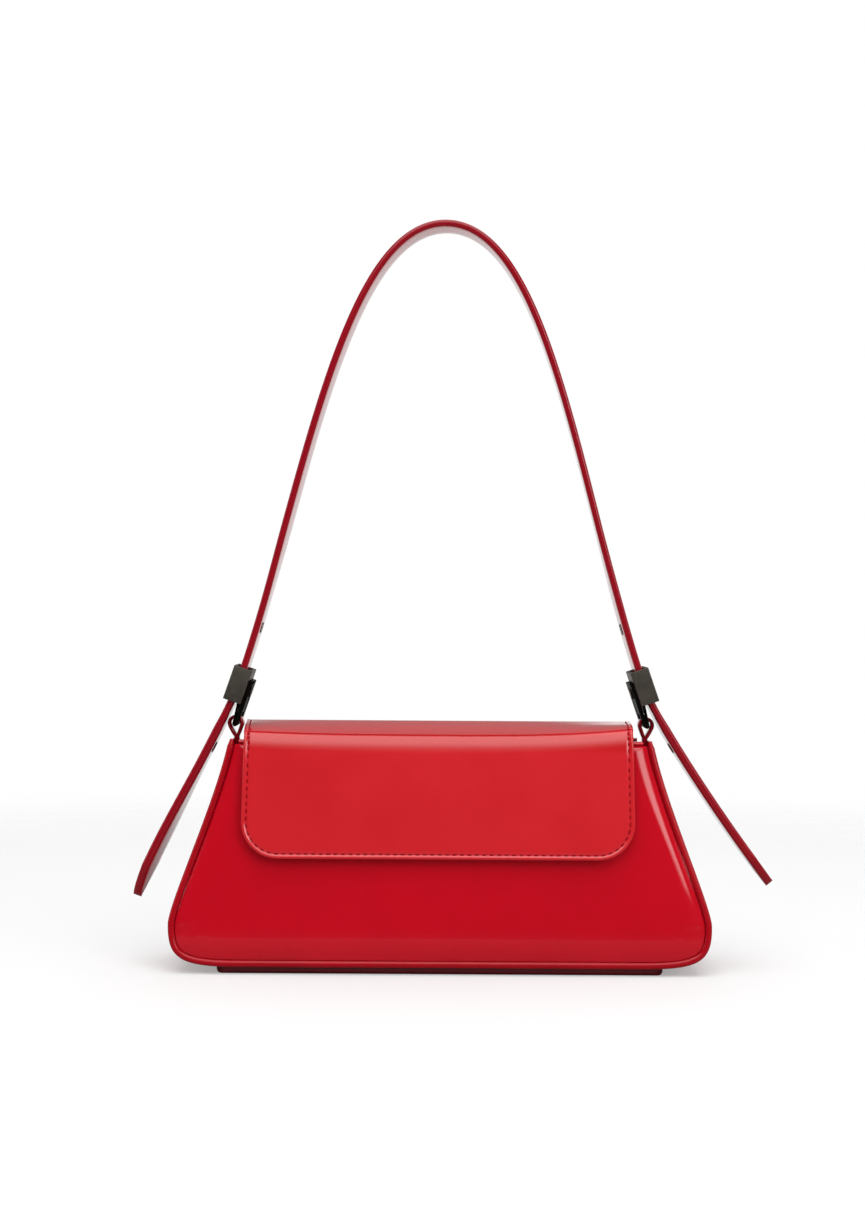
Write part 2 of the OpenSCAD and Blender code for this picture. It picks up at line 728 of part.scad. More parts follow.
front_panel();
back_panel();
gusset();
piping_front();
piping_back();
base_panel();
base_board();
front_board();
back_board();
lining();
facing_front();
facing_back();
slip_pocket();
tab_left();
tab_right();
snap_socket();
snap_backplate_body();
flap_back();
flap_top();
flap_top_lining();
flap_front();
flap_front_lining();
snap_stud();
snap_backplate_flap();
strap_outer();
strap_lining();
eyelets_left();
eyelets_right();
sleeve_left();
sleeve_right();
hanger_left();
hanger_right();
peg_left();
peg_right();
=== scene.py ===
"""Looks of the baguette bag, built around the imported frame. Sizes are millimetres in the frame's axes,
repeated from the part's source, and become metres where a mesh is written."""
import math

import bmesh
import bpy
import numpy as np
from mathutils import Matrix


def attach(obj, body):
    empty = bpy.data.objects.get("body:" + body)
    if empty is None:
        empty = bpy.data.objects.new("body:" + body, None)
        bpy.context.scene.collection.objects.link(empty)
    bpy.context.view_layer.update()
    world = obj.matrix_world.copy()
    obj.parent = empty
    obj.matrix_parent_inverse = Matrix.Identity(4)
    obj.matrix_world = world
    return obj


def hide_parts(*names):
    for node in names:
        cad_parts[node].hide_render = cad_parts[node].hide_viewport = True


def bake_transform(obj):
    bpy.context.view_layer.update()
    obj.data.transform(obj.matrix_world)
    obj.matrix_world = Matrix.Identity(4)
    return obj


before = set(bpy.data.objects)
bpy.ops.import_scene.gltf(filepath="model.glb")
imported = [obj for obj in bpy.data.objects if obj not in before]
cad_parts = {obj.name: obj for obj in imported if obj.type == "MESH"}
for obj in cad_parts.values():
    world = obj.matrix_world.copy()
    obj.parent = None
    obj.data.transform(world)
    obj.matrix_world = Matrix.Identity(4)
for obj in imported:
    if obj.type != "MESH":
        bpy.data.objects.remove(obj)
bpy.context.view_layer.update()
MM = 0.001

# Camera: in front of the bag and level but for the photograph's small roll
CAMERA_PLACE, CAMERA_ROLL, FOCAL_LENGTH = (-0.00455, -0.950, 0.179), -0.35, 56.44     # m, degrees, mm
camera = bpy.data.objects.new("camera", bpy.data.cameras.new("camera"))
camera.location = CAMERA_PLACE
camera.rotation_euler = (math.radians(90), math.radians(CAMERA_ROLL), 0)
camera.data.sensor_width = 36
camera.data.lens = FOCAL_LENGTH
camera.data.clip_start = 0.01
bpy.context.scene.collection.objects.link(camera)
bpy.context.scene.camera = camera

# Sizes of the part's source
body_w, top_w, body_h = 264.5, 209.5, 111.5
base_d, top_d, belly_h, base_run = 60, 30, 24, 196
side_flare, seam_lift = 11, 3.5
piping_r, panel_crown = 1.7, 2.5
gusset_out, gusset_t = 0.4, 1.2
flap_half, flap_back_extra, flap_flare, flap_corner, flap_drop = 94.25, 3, 1.5, 18, 60
flap_t, flap_leather_t, flap_back_drop = 2.4, 1.4, 22
snap_gap, snap_up, snap_r = 3.2, 16, 9
tab_w, tab_ply, eye_r, tab_stem = 8, 1.3, 2.35, 17
buckle_lean, sleeve_up, sleeve_h, sleeve_d, hanger_t, bar_r = 19, 10, 17.5, 9.3, 1.8, 1.3
strap_w, strap_t, strap_top, strap_shift, tail_point = 20, 3.5, 370.5, 1.3, 17
eyelet_pitch, peg_drop = 32, 2
bar_inset, bar_rise = 2.9, 8.7
bar_x, bar_z = top_w / 2 - bar_inset, body_h + bar_rise
lining_inset, lining_t, inner_depth, facing_t, facing_h = 4.35, 0.8, 2.1, 1, 18

lean = math.atan((base_d - top_d) / 2 / body_h)
fold_front = np.array([-21.413, 115.2])       # the folds' lines, as (y, z)
fold_back = np.array([17.288, 118.7])


def seam_y(z):
    return base_d / 2 - z * math.tan(lean)


# Meshes

WELD = 2e-6                                   # points closer than this are one, in metres
Y_WAY, Z_WAY = np.array([0.0, 1.0, 0.0]), np.array([0.0, 0.0, 1.0])


def ramp(a, low, high):
    """0 at low, 1 at high and smooth between, 3t² - 2t³; high may be the lower number."""
    t = np.clip((a - low) / (high - low), 0, 1)
    return t * t * (3 - 2 * t)


def unit(v):
    return v / np.linalg.norm(v, axis=-1, keepdims=True)


def upright(points):
    """Points (x, z) as points of the plane y = 0."""
    return np.stack([points[:, 0], 0 * points[:, 0], points[:, 1]], 1)


def join(pieces):
    """Joins pieces into the first of them."""
    with bpy.context.temp_override(active_object=pieces[0], selected_editable_objects=pieces,
                                   object=pieces[0], selected_objects=pieces):
        bpy.ops.object.join()
    return pieces[0]


def make_mesh(name, points, faces, attributes=None, weld=True, sharp=40):
    """A mesh object at the origin from points in millimetres and faces, welded where points meet, with
    its normals turned outwards and its edges over `sharp` degrees kept crisp."""
    mesh = bpy.data.meshes.new(name)
    mesh.from_pydata((np.asarray(points, float) * MM).tolist(), [], [list(map(int, f)) for f in faces])
    for key, values in (attributes or {}).items():
        mesh.attributes.new(key, "FLOAT", "POINT").data.foreach_set(
            "value", np.asarray(values, np.float32))
    if weld:
        bm = bmesh.new()
        bm.from_mesh(mesh)
        bmesh.ops.remove_doubles(bm, verts=bm.verts, dist=WELD)
        bmesh.ops.dissolve_degenerate(bm, edges=bm.edges, dist=1e-7)
        bmesh.ops.recalc_face_normals(bm, faces=bm.faces)
        bm.to_mesh(mesh)
        bm.free()
    mesh.shade_smooth()
    mesh.set_sharp_from_angle(angle=math.radians(sharp))
    piece = bpy.data.objects.new(name, mesh)
    bpy.context.scene.collection.objects.link(piece)
    return piece


def grid_faces(rows, columns, close_rows=False, close_columns=False, start=0):
    """Quads of a grid of points numbered row by row from `start`."""
    i = np.arange(rows if close_rows else rows - 1)
    j = np.arange(columns if close_columns else columns - 1)
    i, j = (a.ravel() for a in np.meshgrid(i, j, indexing="ij"))
    ni, nj = (i + 1) % rows, (j + 1) % columns
    return start + np.stack([i * columns + j, i * columns + nj, ni * columns + nj, ni * columns + j], 1)


def swept(name, path, across, up, section, attributes=None, sharp=40):
    """A closed section carried along a path: point (i, k) is path[i] + a[i, k]·across[i] +
    b[i, k]·up[i], with across, up and the section's (a, b) the same all along or given for each
    path point. Both ends are capped."""
    path = np.asarray(path, float)
    across, up = (np.broadcast_to(a, path.shape) for a in (across, up))
    n = len(path)
    section = np.broadcast_to(section, (n,) + np.shape(section)[-2:])
    k = section.shape[1]
    points = path[:, None] + section[..., :1] * across[:, None] + section[..., 1:] * up[:, None]
    faces = grid_faces(n, k, close_columns=True).tolist()
    faces += [list(range(k)), list(range((n - 1) * k, n * k))]
    values = {key: np.broadcast_to(v, (n, k)).ravel() for key, v in (attributes or {}).items()}
    return make_mesh(name, points.reshape(-1, 3), faces, values, sharp=sharp)


def turned(name, profile, matrix, steps=48, close=True):
    """A profile of (radius, height) turned about the Z axis and placed by a 4 × 4 matrix in
    millimetres: point (i, k) is (r·cos a, r·sin a, h)."""
    profile = np.asarray(profile, float)
    a = np.linspace(0, 2 * np.pi, steps, endpoint=False)[:, None]
    points = np.stack([profile[:, 0] * np.cos(a), profile[:, 0] * np.sin(a),
                       profile[:, 1] + 0 * a], -1).reshape(-1, 3)
    m = np.asarray(matrix, float)
    points = points @ m[:3, :3].T + m[:3, 3]
    faces = grid_faces(steps, len(profile), close_rows=True, close_columns=close)
    return make_mesh(name, points, faces, sharp=35)


def edged_sheet(name, side, profile, place, columns, split=None, part="all"):
    """A thin closed sheet with a formed edge. side(d, k) gives the right side's (x, v) points at the
    distance d in from the edge, for profile step k; the left side is their mirror image, and straight
    runs join the first and the last points. profile is (d, h) from the inner face's middle round the
    edge to the outer face's middle, and place(x, v, h) puts a point of the sheet in space. With split,
    a row number, only the rows before it (part "upper") or after it (part "lower") are made."""
    keep = {"all": slice(None), "upper": slice(0, (split or 0) + 1), "lower": slice(split, None)}[part]
    t = np.linspace(1, -1, columns + 1)
    loops, faces_xv = [], []
    for k, (d, h) in enumerate(profile):
        p = side(d, k)[keep]
        left = p[::-1] * [-1, 1]
        low = np.stack([t * p[-1, 0], np.full(columns + 1, p[-1, 1])], 1)[1:-1]
        top = np.stack([-t * p[0, 0], np.full(columns + 1, p[0, 1])], 1)[1:-1]
        loops.append(np.concatenate({"all": [p, low, left, top], "lower": [p, low, left],
                                     "upper": [p[::-1], top[::-1], left[::-1]]}[part]))
        if k in (0, len(profile) - 1):
            faces_xv.append(np.stack([p[:, :1] * t, np.repeat(p[:, 1:], columns + 1, 1)], -1))
    n, n_loop = len(loops), len(loops[0])
    faces = grid_faces(n, n_loop, close_columns=part == "all").tolist()
    points = [np.reshape(loops, (-1, 2))]
    heights = [np.repeat([float(h) for _, h in profile], n_loop)]
    count, cut_rows = n * n_loop, []
    for face, (_, h) in zip(faces_xv, (profile[0], profile[-1])):
        rows = len(face)
        faces += grid_faces(rows, columns + 1, start=count).tolist()
        first = count + (rows - 1 if part == "upper" else 0) * (columns + 1)
        cut_rows.append(list(range(first, first + columns + 1)))
        points.append(face.reshape(-1, 2))
        heights.append(np.full(face[..., 0].size, float(h)))
        count += face[..., 0].size
    if part != "all":
        # the cut: along the inner face, round the left edge, back along the outer face, round the right
        right = [k * n_loop for k in range(1, n - 1)]
        left = [k * n_loop + n_loop - 1 for k in range(1, n - 1)]
        faces.append(cut_rows[0] + left + cut_rows[1][::-1] + right[::-1])
    points = np.concatenate(points)
    return make_mesh(name, place(points[:, 0], points[:, 1], np.concatenate(heights)), faces)


def stitches(name, places, along, up, length=2.7, width=0.8, height=0.5):
    """Thread stitches: each is a small barrel, width × height thick, with its ends drawn down into the
    leather. places, along and up are arrays with a row for each stitch."""
    u = np.linspace(-1, 1, 6)
    a = np.linspace(0, 2 * np.pi, 6, endpoint=False)
    girth = np.sqrt(np.clip(1 - u ** 4, 0.02, 1))
    side = np.cross(along, up)
    local = np.stack(np.broadcast_arrays((u * length / 2)[:, None], girth[:, None] * np.cos(a) * width / 2,
                                         girth[:, None] * np.sin(a) * height / 2
                                         - (u ** 2)[:, None] * height * 0.45), -1)
    points = (places[:, None, None] + local[None, ..., :1] * along[:, None, None]
              + local[None, ..., 1:2] * side[:, None, None] + local[None, ..., 2:] * up[:, None, None])
    one = grid_faces(6, 6, close_columns=True).tolist() + [list(range(6)), list(range(30, 36))]
    faces = [[36 * i + q for q in f] for i in range(len(places)) for f in one]
    return make_mesh(name, points.reshape(-1, 3), faces, sharp=60)


def length_along(line):
    return np.concatenate([[0], np.cumsum(np.linalg.norm(np.diff(line, axis=0), axis=1))])


def along_curve(curve, pitch, start=0.0):
    """Points about every `pitch` along a curve of points, with the curve's direction there."""
    s = length_along(curve)
    at = np.linspace(start, s[-1], int(round((s[-1] - start) / pitch)) + 1)
    places, ahead, behind = (np.stack([np.interp(at + d, s, c) for c in curve.T], 1) for d in (0, 0.3, -0.3))
    return places, unit(ahead - behind)


def bevelled_copy(name, node, width):
    """A CAD node's shape with rounded edges: its triangles are merged into whole faces, where they lie
    within 2 degrees, then every edge sharper than 35 degrees gets a bevel."""
    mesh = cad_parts[node].data.copy()
    mesh.name = name
    mesh.materials.clear()
    bm = bmesh.new()
    bm.from_mesh(mesh)
    bmesh.ops.remove_doubles(bm, verts=bm.verts, dist=WELD)
    bmesh.ops.recalc_face_normals(bm, faces=bm.faces)
    bmesh.ops.dissolve_limit(bm, angle_limit=math.radians(2), verts=bm.verts, edges=bm.edges)
    bm.to_mesh(mesh)
    bm.free()
    mesh.shade_smooth()
    piece = bpy.data.objects.new(name, mesh)
    bpy.context.scene.collection.objects.link(piece)
    bevel = piece.modifiers.new("rounded edges", "BEVEL")
    bevel.width = width * MM
    bevel.segments = 3
    bevel.limit_method = "ANGLE"
    bevel.angle_limit = math.radians(35)
    bevel.use_clamp_overlap = True
    bevel.harden_normals = True
    return piece


# Materials

class Value:
    """A number inside a material. Operators on it add Math nodes and give the result as a Value."""

    def __init__(self, nodes, socket):
        self.nodes, self.socket = nodes, socket

    def math(self, operation, *others):
        node = self.nodes.node("ShaderNodeMath", dict(operation=operation), dict(enumerate((self, *others))))
        return Value(self.nodes, node.outputs[0])

    def __add__(self, other): return self.math("ADD", other)
    __radd__ = __add__
    def __mul__(self, other): return self.math("MULTIPLY", other)
    __rmul__ = __mul__
    def __sub__(self, other): return self.math("SUBTRACT", other)
    def __rsub__(self, other): return (self * -1) + other

    def between(self, low, high):
        """0 below low and 1 above high, smooth between."""
        node = self.nodes.node("ShaderNodeMapRange", dict(interpolation_type="SMOOTHSTEP"),
                               {"Value": self, "From Min": low, "From Max": high})
        return Value(self.nodes, node.outputs[0])


class Nodes:
    """The nodes of a material or a world, and the methods that add to them."""

    def __init__(self, tree):
        self.tree = tree

    def set(self, node, inputs):
        for key, value in inputs.items():
            socket = node.inputs[key]
            value = value.socket if isinstance(value, Value) else value
            if isinstance(value, bpy.types.NodeSocket):
                self.tree.links.new(value, socket)
            elif hasattr(socket.default_value, "__len__") and len(value) == 3 \
                    and len(socket.default_value) == 4:
                socket.default_value = (*value, 1)
            else:
                socket.default_value = value

    def node(self, kind, settings=None, inputs=None):
        """A node of any type: its settings first, then the values or links of its sockets."""
        node = self.tree.nodes.new(kind)
        for key, value in (settings or {}).items():
            setattr(node, key, value)
        self.set(node, inputs or {})
        return node

    def value(self, output, kind, settings=None, inputs=None):
        """One output of a new node, as a Value."""
        return Value(self, self.node(kind, settings, inputs).outputs[output])

    def attribute(self, name):
        return self.value("Fac", "ShaderNodeAttribute", dict(attribute_name=name))

    def place(self):
        return self.node("ShaderNodeTexCoord").outputs["Object"]

    def noise(self, scale, detail=2, roughness=0.5, place=None):
        return self.value("Fac", "ShaderNodeTexNoise", None, {"Vector": place or self.place(), "Scale": scale,
                                                              "Detail": detail, "Roughness": roughness})

    def wave(self, scale, direction, distortion, place=None):
        return self.value("Fac", "ShaderNodeTexWave", dict(bands_direction=direction),
                          {"Vector": place or self.place(), "Scale": scale, "Distortion": distortion})

    def mix(self, a, b, share):
        """Colour a where share is 0 and b where it is 1."""
        return self.node("ShaderNodeMix", dict(data_type="RGBA"), {0: share, 6: a, 7: b}).outputs[2]


class Finish(Nodes):
    """A material with one Principled shader."""

    def __init__(self, name, **sockets):
        self.material = bpy.data.materials.new(name)
        self.material.use_nodes = True
        super().__init__(self.material.node_tree)
        self.shader = self.tree.nodes["Principled BSDF"]
        self.set(self.shader, {k.replace("_", " "): v for k, v in sockets.items()})

    def bump(self, height, strength, distance):
        node = self.node("ShaderNodeBump", None, {"Height": height, "Strength": strength,
                                                  "Distance": distance})
        self.set(self.shader, {"Normal": node.outputs["Normal"]})

    def orange_peel(self, share=1):
        """The gloss coat's faint waviness, fine and coarse."""
        self.bump((self.noise(420, 2, 0.5) * 0.5 + self.noise(95, 2, 0.5)) * share, 0.16, 0.00035)


def patent(name, colour, deep, fold=None, coat=1.0):
    """Patent leather: a red ground of slightly uneven depth under a clear, glossy coat with a faint orange
    peel. Where a fold's colour is given, the ground deepens to it on the roll under the flap's crease, and a
    little on the band above it. This is painted shade on that upward-facing roll, which the lamps over the
    bag light more than the hanging front."""
    f = Finish(name, Roughness=0.4, Coat_Weight=coat, Coat_Roughness=0.05, Coat_IOR=1.5,
               Specular_IOR_Level=0.06)
    cloud = f.noise(26, 3, 0.55).between(0.3, 0.75)
    ground = f.mix(colour, deep, cloud * 0.55)
    if fold is not None:
        height = f.value("Z", "ShaderNodeSeparateXYZ", None, {0: f.place()})
        # painted shade: from 106 mm up the ground deepens to the fold colour over the roll under the crease,
        # and keeps a third of it on the band above
        painted_roll_shade = height.between(0.106, 0.112) * (1 - height.between(0.1155, 0.1175) * 0.7)
        ground = f.mix(ground, fold, painted_roll_shade)
    f.set(f.shader, {"Base Color": ground})
    f.orange_peel()
    return f.material


body_leather = patent("body patent leather", (0.50, 0.0008, 0.010), (0.44, 0.0005, 0.008))
# The base panel's near-black ground is painted shade: the base sits recessed in shadow under the body.
base_leather_painted_shade = patent("base leather with painted shade", (0.11, 0.001, 0.004), (0.08, 0.001, 0.003))
# The piping's ground is darker than the body's: painted shade and painted dark reflection along the seams.
piping_leather_painted_shade = patent("piping patent leather with painted shade", (0.36, 0.0008, 0.007), (0.28, 0.0005, 0.005), coat=0.4)
# The flap's ground is lighter and pinker than the body's: painted light and painted reflection, for the
# brighter surroundings that its upward-tilted face mirrors. Its third colour is painted shade on the roll
# under the crease.
flap_leather = patent("flap patent leather", (0.56, 0.014, 0.020), (0.51, 0.009, 0.015), (0.47, 0.007, 0.009))


def edge_painted(name, colour, deep, paint):
    """Strap leather whose cut edges, where the attribute `paint` is 1, carry an edge paint."""
    f = Finish(name, Coat_Roughness=0.05, Coat_IOR=1.5, Specular_IOR_Level=0.06)
    cloud = f.noise(30, 3, 0.55).between(0.3, 0.75)
    painted = f.attribute("paint")
    ground = f.mix(f.mix(colour, deep, cloud * 0.5), paint, painted)
    f.set(f.shader, {"Base Color": ground, "Roughness": 0.33 + painted * 0.1,
                     "Coat Weight": 1 - painted * 0.35})
    f.orange_peel(1 - painted)
    return f.material


strap_finish = edge_painted("strap leather with painted edges", (0.42, 0.003, 0.012), (0.34, 0.002, 0.010),
                            (0.25, 0.001, 0.008))


def woven(name, colour, deep):
    """Lining cloth: a fine twill, from two crossed waves, with soft wear."""
    f = Finish(name, Roughness=0.8, Sheen_Weight=0.04, Sheen_Roughness=0.5, Specular_IOR_Level=0.08)
    place = f.place()
    twill = f.wave(900, "DIAGONAL", 0.6, place) * 0.6 + f.wave(700, "Z", 0.8, place) * 0.4
    worn = f.noise(18, 4, 0.6).between(0.3, 0.8)
    f.set(f.shader, {"Base Color": f.mix(f.mix(colour, deep, twill * 0.6), deep, worn * 0.4)})
    f.bump(twill, 0.5, 0.00015)
    return f.material


lining_cloth = woven("red lining twill", (0.22, 0.010, 0.014), (0.12, 0.004, 0.007))


def pressed_board(name):
    """Stiffener board: pressed grey-brown fibres with dark specks."""
    f = Finish(name, Roughness=0.85, Specular_IOR_Level=0.2)
    fibre = f.noise(600, 5, 0.7)
    cells = f.value("Distance", "ShaderNodeTexVoronoi", None, {"Vector": f.place(), "Scale": 900})
    ground = f.mix((0.34, 0.29, 0.21), (0.27, 0.22, 0.15), fibre)
    f.set(f.shader, {"Base Color": f.mix((0.16, 0.13, 0.09), ground, cells.between(0.05, 0.16))})
    f.bump(fibre, 0.4, 0.0002)
    return f.material


board_fibre = pressed_board("stiffener board")


def plated(name, colour, deep, roughness, grain, metal=1.0, tint=0.24):
    """Plated metal: a thin brushed grain, and fingermarks that change its roughness a little."""
    f = Finish(name, Metallic=metal, Specular_IOR_Level=0.15, Specular_Tint=(tint, tint, tint * 0.92))
    place = f.place()
    marks = f.noise(120, 3, 0.6, place)
    brushed = f.wave(1600, "Z", 2.5, place)
    f.set(f.shader, {"Base Color": f.mix(colour, deep, marks.between(0.35, 0.7)),
                     "Roughness": roughness + marks * 0.10})
    f.bump(brushed * 0.4 + f.noise(2200, 1, 0.5, place), grain, 0.00004)
    return f.material


gunmetal = plated("gunmetal plating", (0.082, 0.072, 0.060), (0.062, 0.055, 0.046), 0.30, 0.35, 0.4)
# The hangers are of the sleeves' gunmetal. This near-black copy of it is painted shade, for the dark that the
# hangers mirror.
hanger_gunmetal_painted_shade = plated("hanger plating with painted shade", (0.020, 0.018, 0.016), (0.014, 0.012, 0.011), 0.26, 0.12, 1.0,
                     0.10)
bright_metal = plated("nickel plating", (0.62, 0.60, 0.57), (0.52, 0.50, 0.47), 0.14, 0.2)


def thread(name, colour, deep):
    """Waxed thread with a fine twist."""
    f = Finish(name, Roughness=0.6, Specular_IOR_Level=0.05)
    twist = f.wave(1500, "DIAGONAL", 0.3)
    f.set(f.shader, {"Base Color": f.mix(colour, deep, twist)})
    f.bump(twist, 0.5, 0.0001)
    return f.material


flap_thread = thread("dark red thread", (0.34, 0.002, 0.010), (0.22, 0.001, 0.006))


def dress(piece, material, slot, *bodies, start=None, end=None, instead=()):
    """Gives a piece its material and parents it to its body; given two bodies, it bakes its place into its
    points and is parented to neither. It hides the CAD nodes that it stands for. The slot, start and end are
    not used."""
    piece.data.materials.clear()
    piece.data.materials.append(material)
    if len(bodies) == 1:
        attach(piece, bodies[0])
    else:
        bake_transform(piece)
    if instead:
        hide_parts(*instead)
    return piece


# Body

def bezier(p, t):
    """Cubic Bézier: (1-t)³·p0 + 3(1-t)²t·p1 + 3(1-t)t²·p2 + t³·p3, and its direction."""
    p, t = np.asarray(p, float), np.asarray(t, float)[:, None]
    point = (1 - t) ** 3 * p[0] + 3 * (1 - t) ** 2 * t * p[1] + 3 * (1 - t) * t * t * p[2] + t ** 3 * p[3]
    return point, unit((1 - t) ** 2 * (p[1] - p[0]) + 2 * (1 - t) * t * (p[2] - p[1]) + t * t * (p[3] - p[2]))


flare = math.radians(side_flare)
side_handle = 0.34 * (body_h - belly_h)
side_curve = [(top_w / 2, body_h),
              (top_w / 2 + side_handle * math.sin(flare), body_h - side_handle * math.cos(flare)),
              (body_w / 2, belly_h + 0.11 * (body_h - belly_h)), (body_w / 2, belly_h)]
corner_curve = [(body_w / 2, belly_h), (body_w / 2, belly_h - 0.82 * (belly_h - seam_lift)),
                (base_run / 2 + 0.82 * (body_w - base_run) / 2, seam_lift), (base_run / 2, seam_lift)]
SIDE_STEPS, CORNER_STEPS, ACROSS = 46, 26, 40
mouth = body_h + 1.4                          # the photographed mouth stands a little higher


def half_outline(inset, top):
    """Right half of the body's outline in XZ, moved inwards, from the top corner to the bottom run."""
    a, way_a = bezier(side_curve, np.linspace(0, 1, SIDE_STEPS + 1))
    b, way_b = bezier(corner_curve, np.linspace(0, 1, CORNER_STEPS + 1)[1:])
    p, way = np.concatenate([a, b]), np.concatenate([way_a, way_b])
    inset = np.broadcast_to(inset(p[:, 1]) if callable(inset) else inset, len(p))
    p = p + inset[:, None] * np.stack([way[:, 1], -way[:, 0]], 1)
    p[0] += way[0] * (top - p[0, 1]) / way[0, 1]
    keep = p[:, 1] <= top + 1e-6
    keep[0] = True
    p[~keep] = p[0]
    # past the corner's radius the offset would cross itself: it is kept running inwards and down
    p[:, 1] = np.minimum.accumulate(np.maximum(p[:, 1], p[-1, 1]))
    p[SIDE_STEPS:, 0] = np.minimum.accumulate(p[SIDE_STEPS:, 0])
    return p


def closed_outline(inset, top):
    half = half_outline(inset, top)
    run = np.linspace(half[-1, 0], -half[-1, 0], ACROSS + 1)[1:-1]
    bottom = np.stack([run, np.full(len(run), half[-1, 1])], 1)
    return np.concatenate([half, bottom, half[::-1] * [-1, 1]])


panel_inset = 2 * piping_r + 0.2
bulge = np.linspace(0, 1, 12)
bulge_w = 14
lip = 2.3                                     # the facing's lip stands over the panel's top edge
panel_profile = [(panel_inset + bulge_w, 0.0), (panel_inset, 0.0)]
panel_profile += [(panel_inset + bulge_w * u ** 2, 0.5 + (panel_crown - 0.4) * (1 - (1 - u ** 2) ** 2.3))
                  for u in bulge]
# how far the top edge drops at each profile step: the leather turns over the edge
panel_drop = [lip, lip] + [lip + 2.4 * u ** 2 for u in bulge]


def make_panel(name, side, node):
    def ring(d, k):
        """The bulge is narrow along the sides, 0.46 of its width, wider at the top, and grows to all of
        it at the bottom."""
        def inset(z):
            return panel_inset + (d - panel_inset) * (0.46 + 0.54 * ramp(z, 46, 12) + 0.13 * ramp(z, 60, 100))
        return half_outline(inset, mouth - panel_drop[k])

    def place(x, z, h):
        """(x, ±(seam plane + h + a shallow dome), z)"""
        dome = 0.35 * np.clip(1 - (x / 120) ** 2, 0, 1) * np.clip(1 - ((z - 55) / 55) ** 2, 0, 1)
        return np.stack([x, side * (seam_y(z) + h + dome * ramp(h, 1.2, 2.5)), z], 1)
    piece = edged_sheet(name, ring, panel_profile, place, ACROSS)
    return dress(piece, body_leather, "body_leather", "bag", instead=[node])


make_panel("front_panel_skin", -1, "front_panel")
make_panel("back_panel_skin", 1, "back_panel")


def make_piping(name, side, node):
    """Piping: a round cord with a sewn welt behind it, carried along the seam."""
    seam = closed_outline(piping_r, mouth)
    path = np.stack([seam[:, 0], side * seam_y(seam[:, 1]), seam[:, 1]], 1)
    plane = np.array([0, math.cos(lean), side * math.sin(lean)])
    inward = np.cross(unit(np.gradient(path, axis=0)), plane)
    a = np.linspace(0, 2 * np.pi, 20, endpoint=False)
    section = piping_r * np.stack([np.cos(a), np.sin(a)], 1)
    size = np.ones((len(path), 1, 1))
    size[[0, -1]] = 0.55                      # its cut ends are pinched
    piece = swept(name, path, inward, plane, section * size)
    return dress(piece, piping_leather_painted_shade, "body_leather", "bag", instead=[node])


make_piping("piping_front_cord", -1, "piping_front")
make_piping("piping_back_cord", 1, "piping_back")


def make_gusset():
    """The strip round the sides and the bottom: across it the outside dips by 0.6·(1-a²)² mm."""
    outer = closed_outline(0, mouth)
    way = upright(unit(np.gradient(outer, axis=0)))
    a = np.linspace(-1, 1, 25)
    face = np.stack([a, -gusset_out - 0.6 * (1 - a ** 2) ** 2], 1)
    back = np.stack([a[::-1], np.full(25, -gusset_out - gusset_t)], 1)
    section = np.concatenate([face, back])[None] * np.ones((len(outer), 1, 1))
    section[..., 0] *= (seam_y(outer[:, 1]) - piping_r - 0.05)[:, None]
    piece = swept("gusset_skin", upright(outer), Y_WAY, np.cross(way, Y_WAY), section)
    return dress(piece, body_leather, "body_leather", "bag", instead=["gusset"])


make_gusset()

base_skin = bevelled_copy("base_panel_skin", "base_panel", 0.5)
dress(base_skin, base_leather_painted_shade, "body_leather", "bag", instead=["base_panel"])


# Inside

def make_lining():
    """Lining bag: a box of cloth that follows the outline, with the corners of a superellipse of power
    12. Its rings go down the inside from the mouth, and up the outside."""
    turn = np.linspace(0, 2 * np.pi, 64, endpoint=False)
    x_share, y_share = (np.sign(a) * np.abs(a) ** (2 / 12) for a in (np.cos(turn), np.sin(turn)))

    def rings(inset, depth):
        half = half_outline(inset, body_h - 1)
        xs = np.concatenate([half[:, 0], half[-1, 0] * np.linspace(1, 0.02, 8)[1:]])[:, None]
        zs = np.concatenate([half[:, 1], np.full(7, half[-1, 1])])[:, None]
        return np.stack([xs * x_share, (seam_y(zs) - depth) * y_share, zs + 0 * xs * x_share], -1)
    inside = rings(lining_inset + lining_t, inner_depth)
    outside = rings(lining_inset + 0.02, inner_depth - lining_t + 0.02)
    points = np.concatenate([inside[::-1], outside])
    last = (len(points) - 1) * 64
    ends = [list(range(64)), list(range(last, last + 64))]
    faces = grid_faces(len(points), 64, close_columns=True).tolist() + ends
    piece = make_mesh("lining_bag", points.reshape(-1, 3), faces)
    return dress(piece, lining_cloth, "lining", "bag", instead=["lining"])


make_lining()


def make_facing(name, side, node):
    """Facing band: leather that goes up the inside of the mouth and folds over the board's edge to the
    panel. A closed section in (depth inside the seam plane, z), carried along X."""
    low, top = body_h - facing_h, mouth - 0.15
    deep = inner_depth + 0.05 + facing_t
    over = np.array([(deep, low + 0.4), (deep, top - 1.2), (deep - 0.35, top - 0.4), (deep - 1.1, top),
                     (0.2, top), (-0.45, top - 0.15), (-0.85, top - 0.5), (-1.0, top - 1.0),
                     (-0.85, top - 1.5), (-0.4, top - 1.85), (0.1, top - 1.95),
                     (inner_depth - lining_t, top - 1.95), (inner_depth + 0.05, top - 2.15),
                     (inner_depth + 0.05, low), (deep - 0.4, low)])
    half = half_outline(lining_inset + lining_t + 0.05, body_h)[0, 0]
    path = np.linspace(-half, half, 41)[:, None] * [1.0, 0, 0]
    section = np.stack([side * (seam_y(over[:, 1]) - over[:, 0]), over[:, 1]], 1)
    piece = swept(name, path, Y_WAY, Z_WAY, section)
    return dress(piece, body_leather, "body_leather", "bag", instead=[node])


make_facing("facing_front_band", -1, "facing_front")
make_facing("facing_back_band", 1, "facing_back")


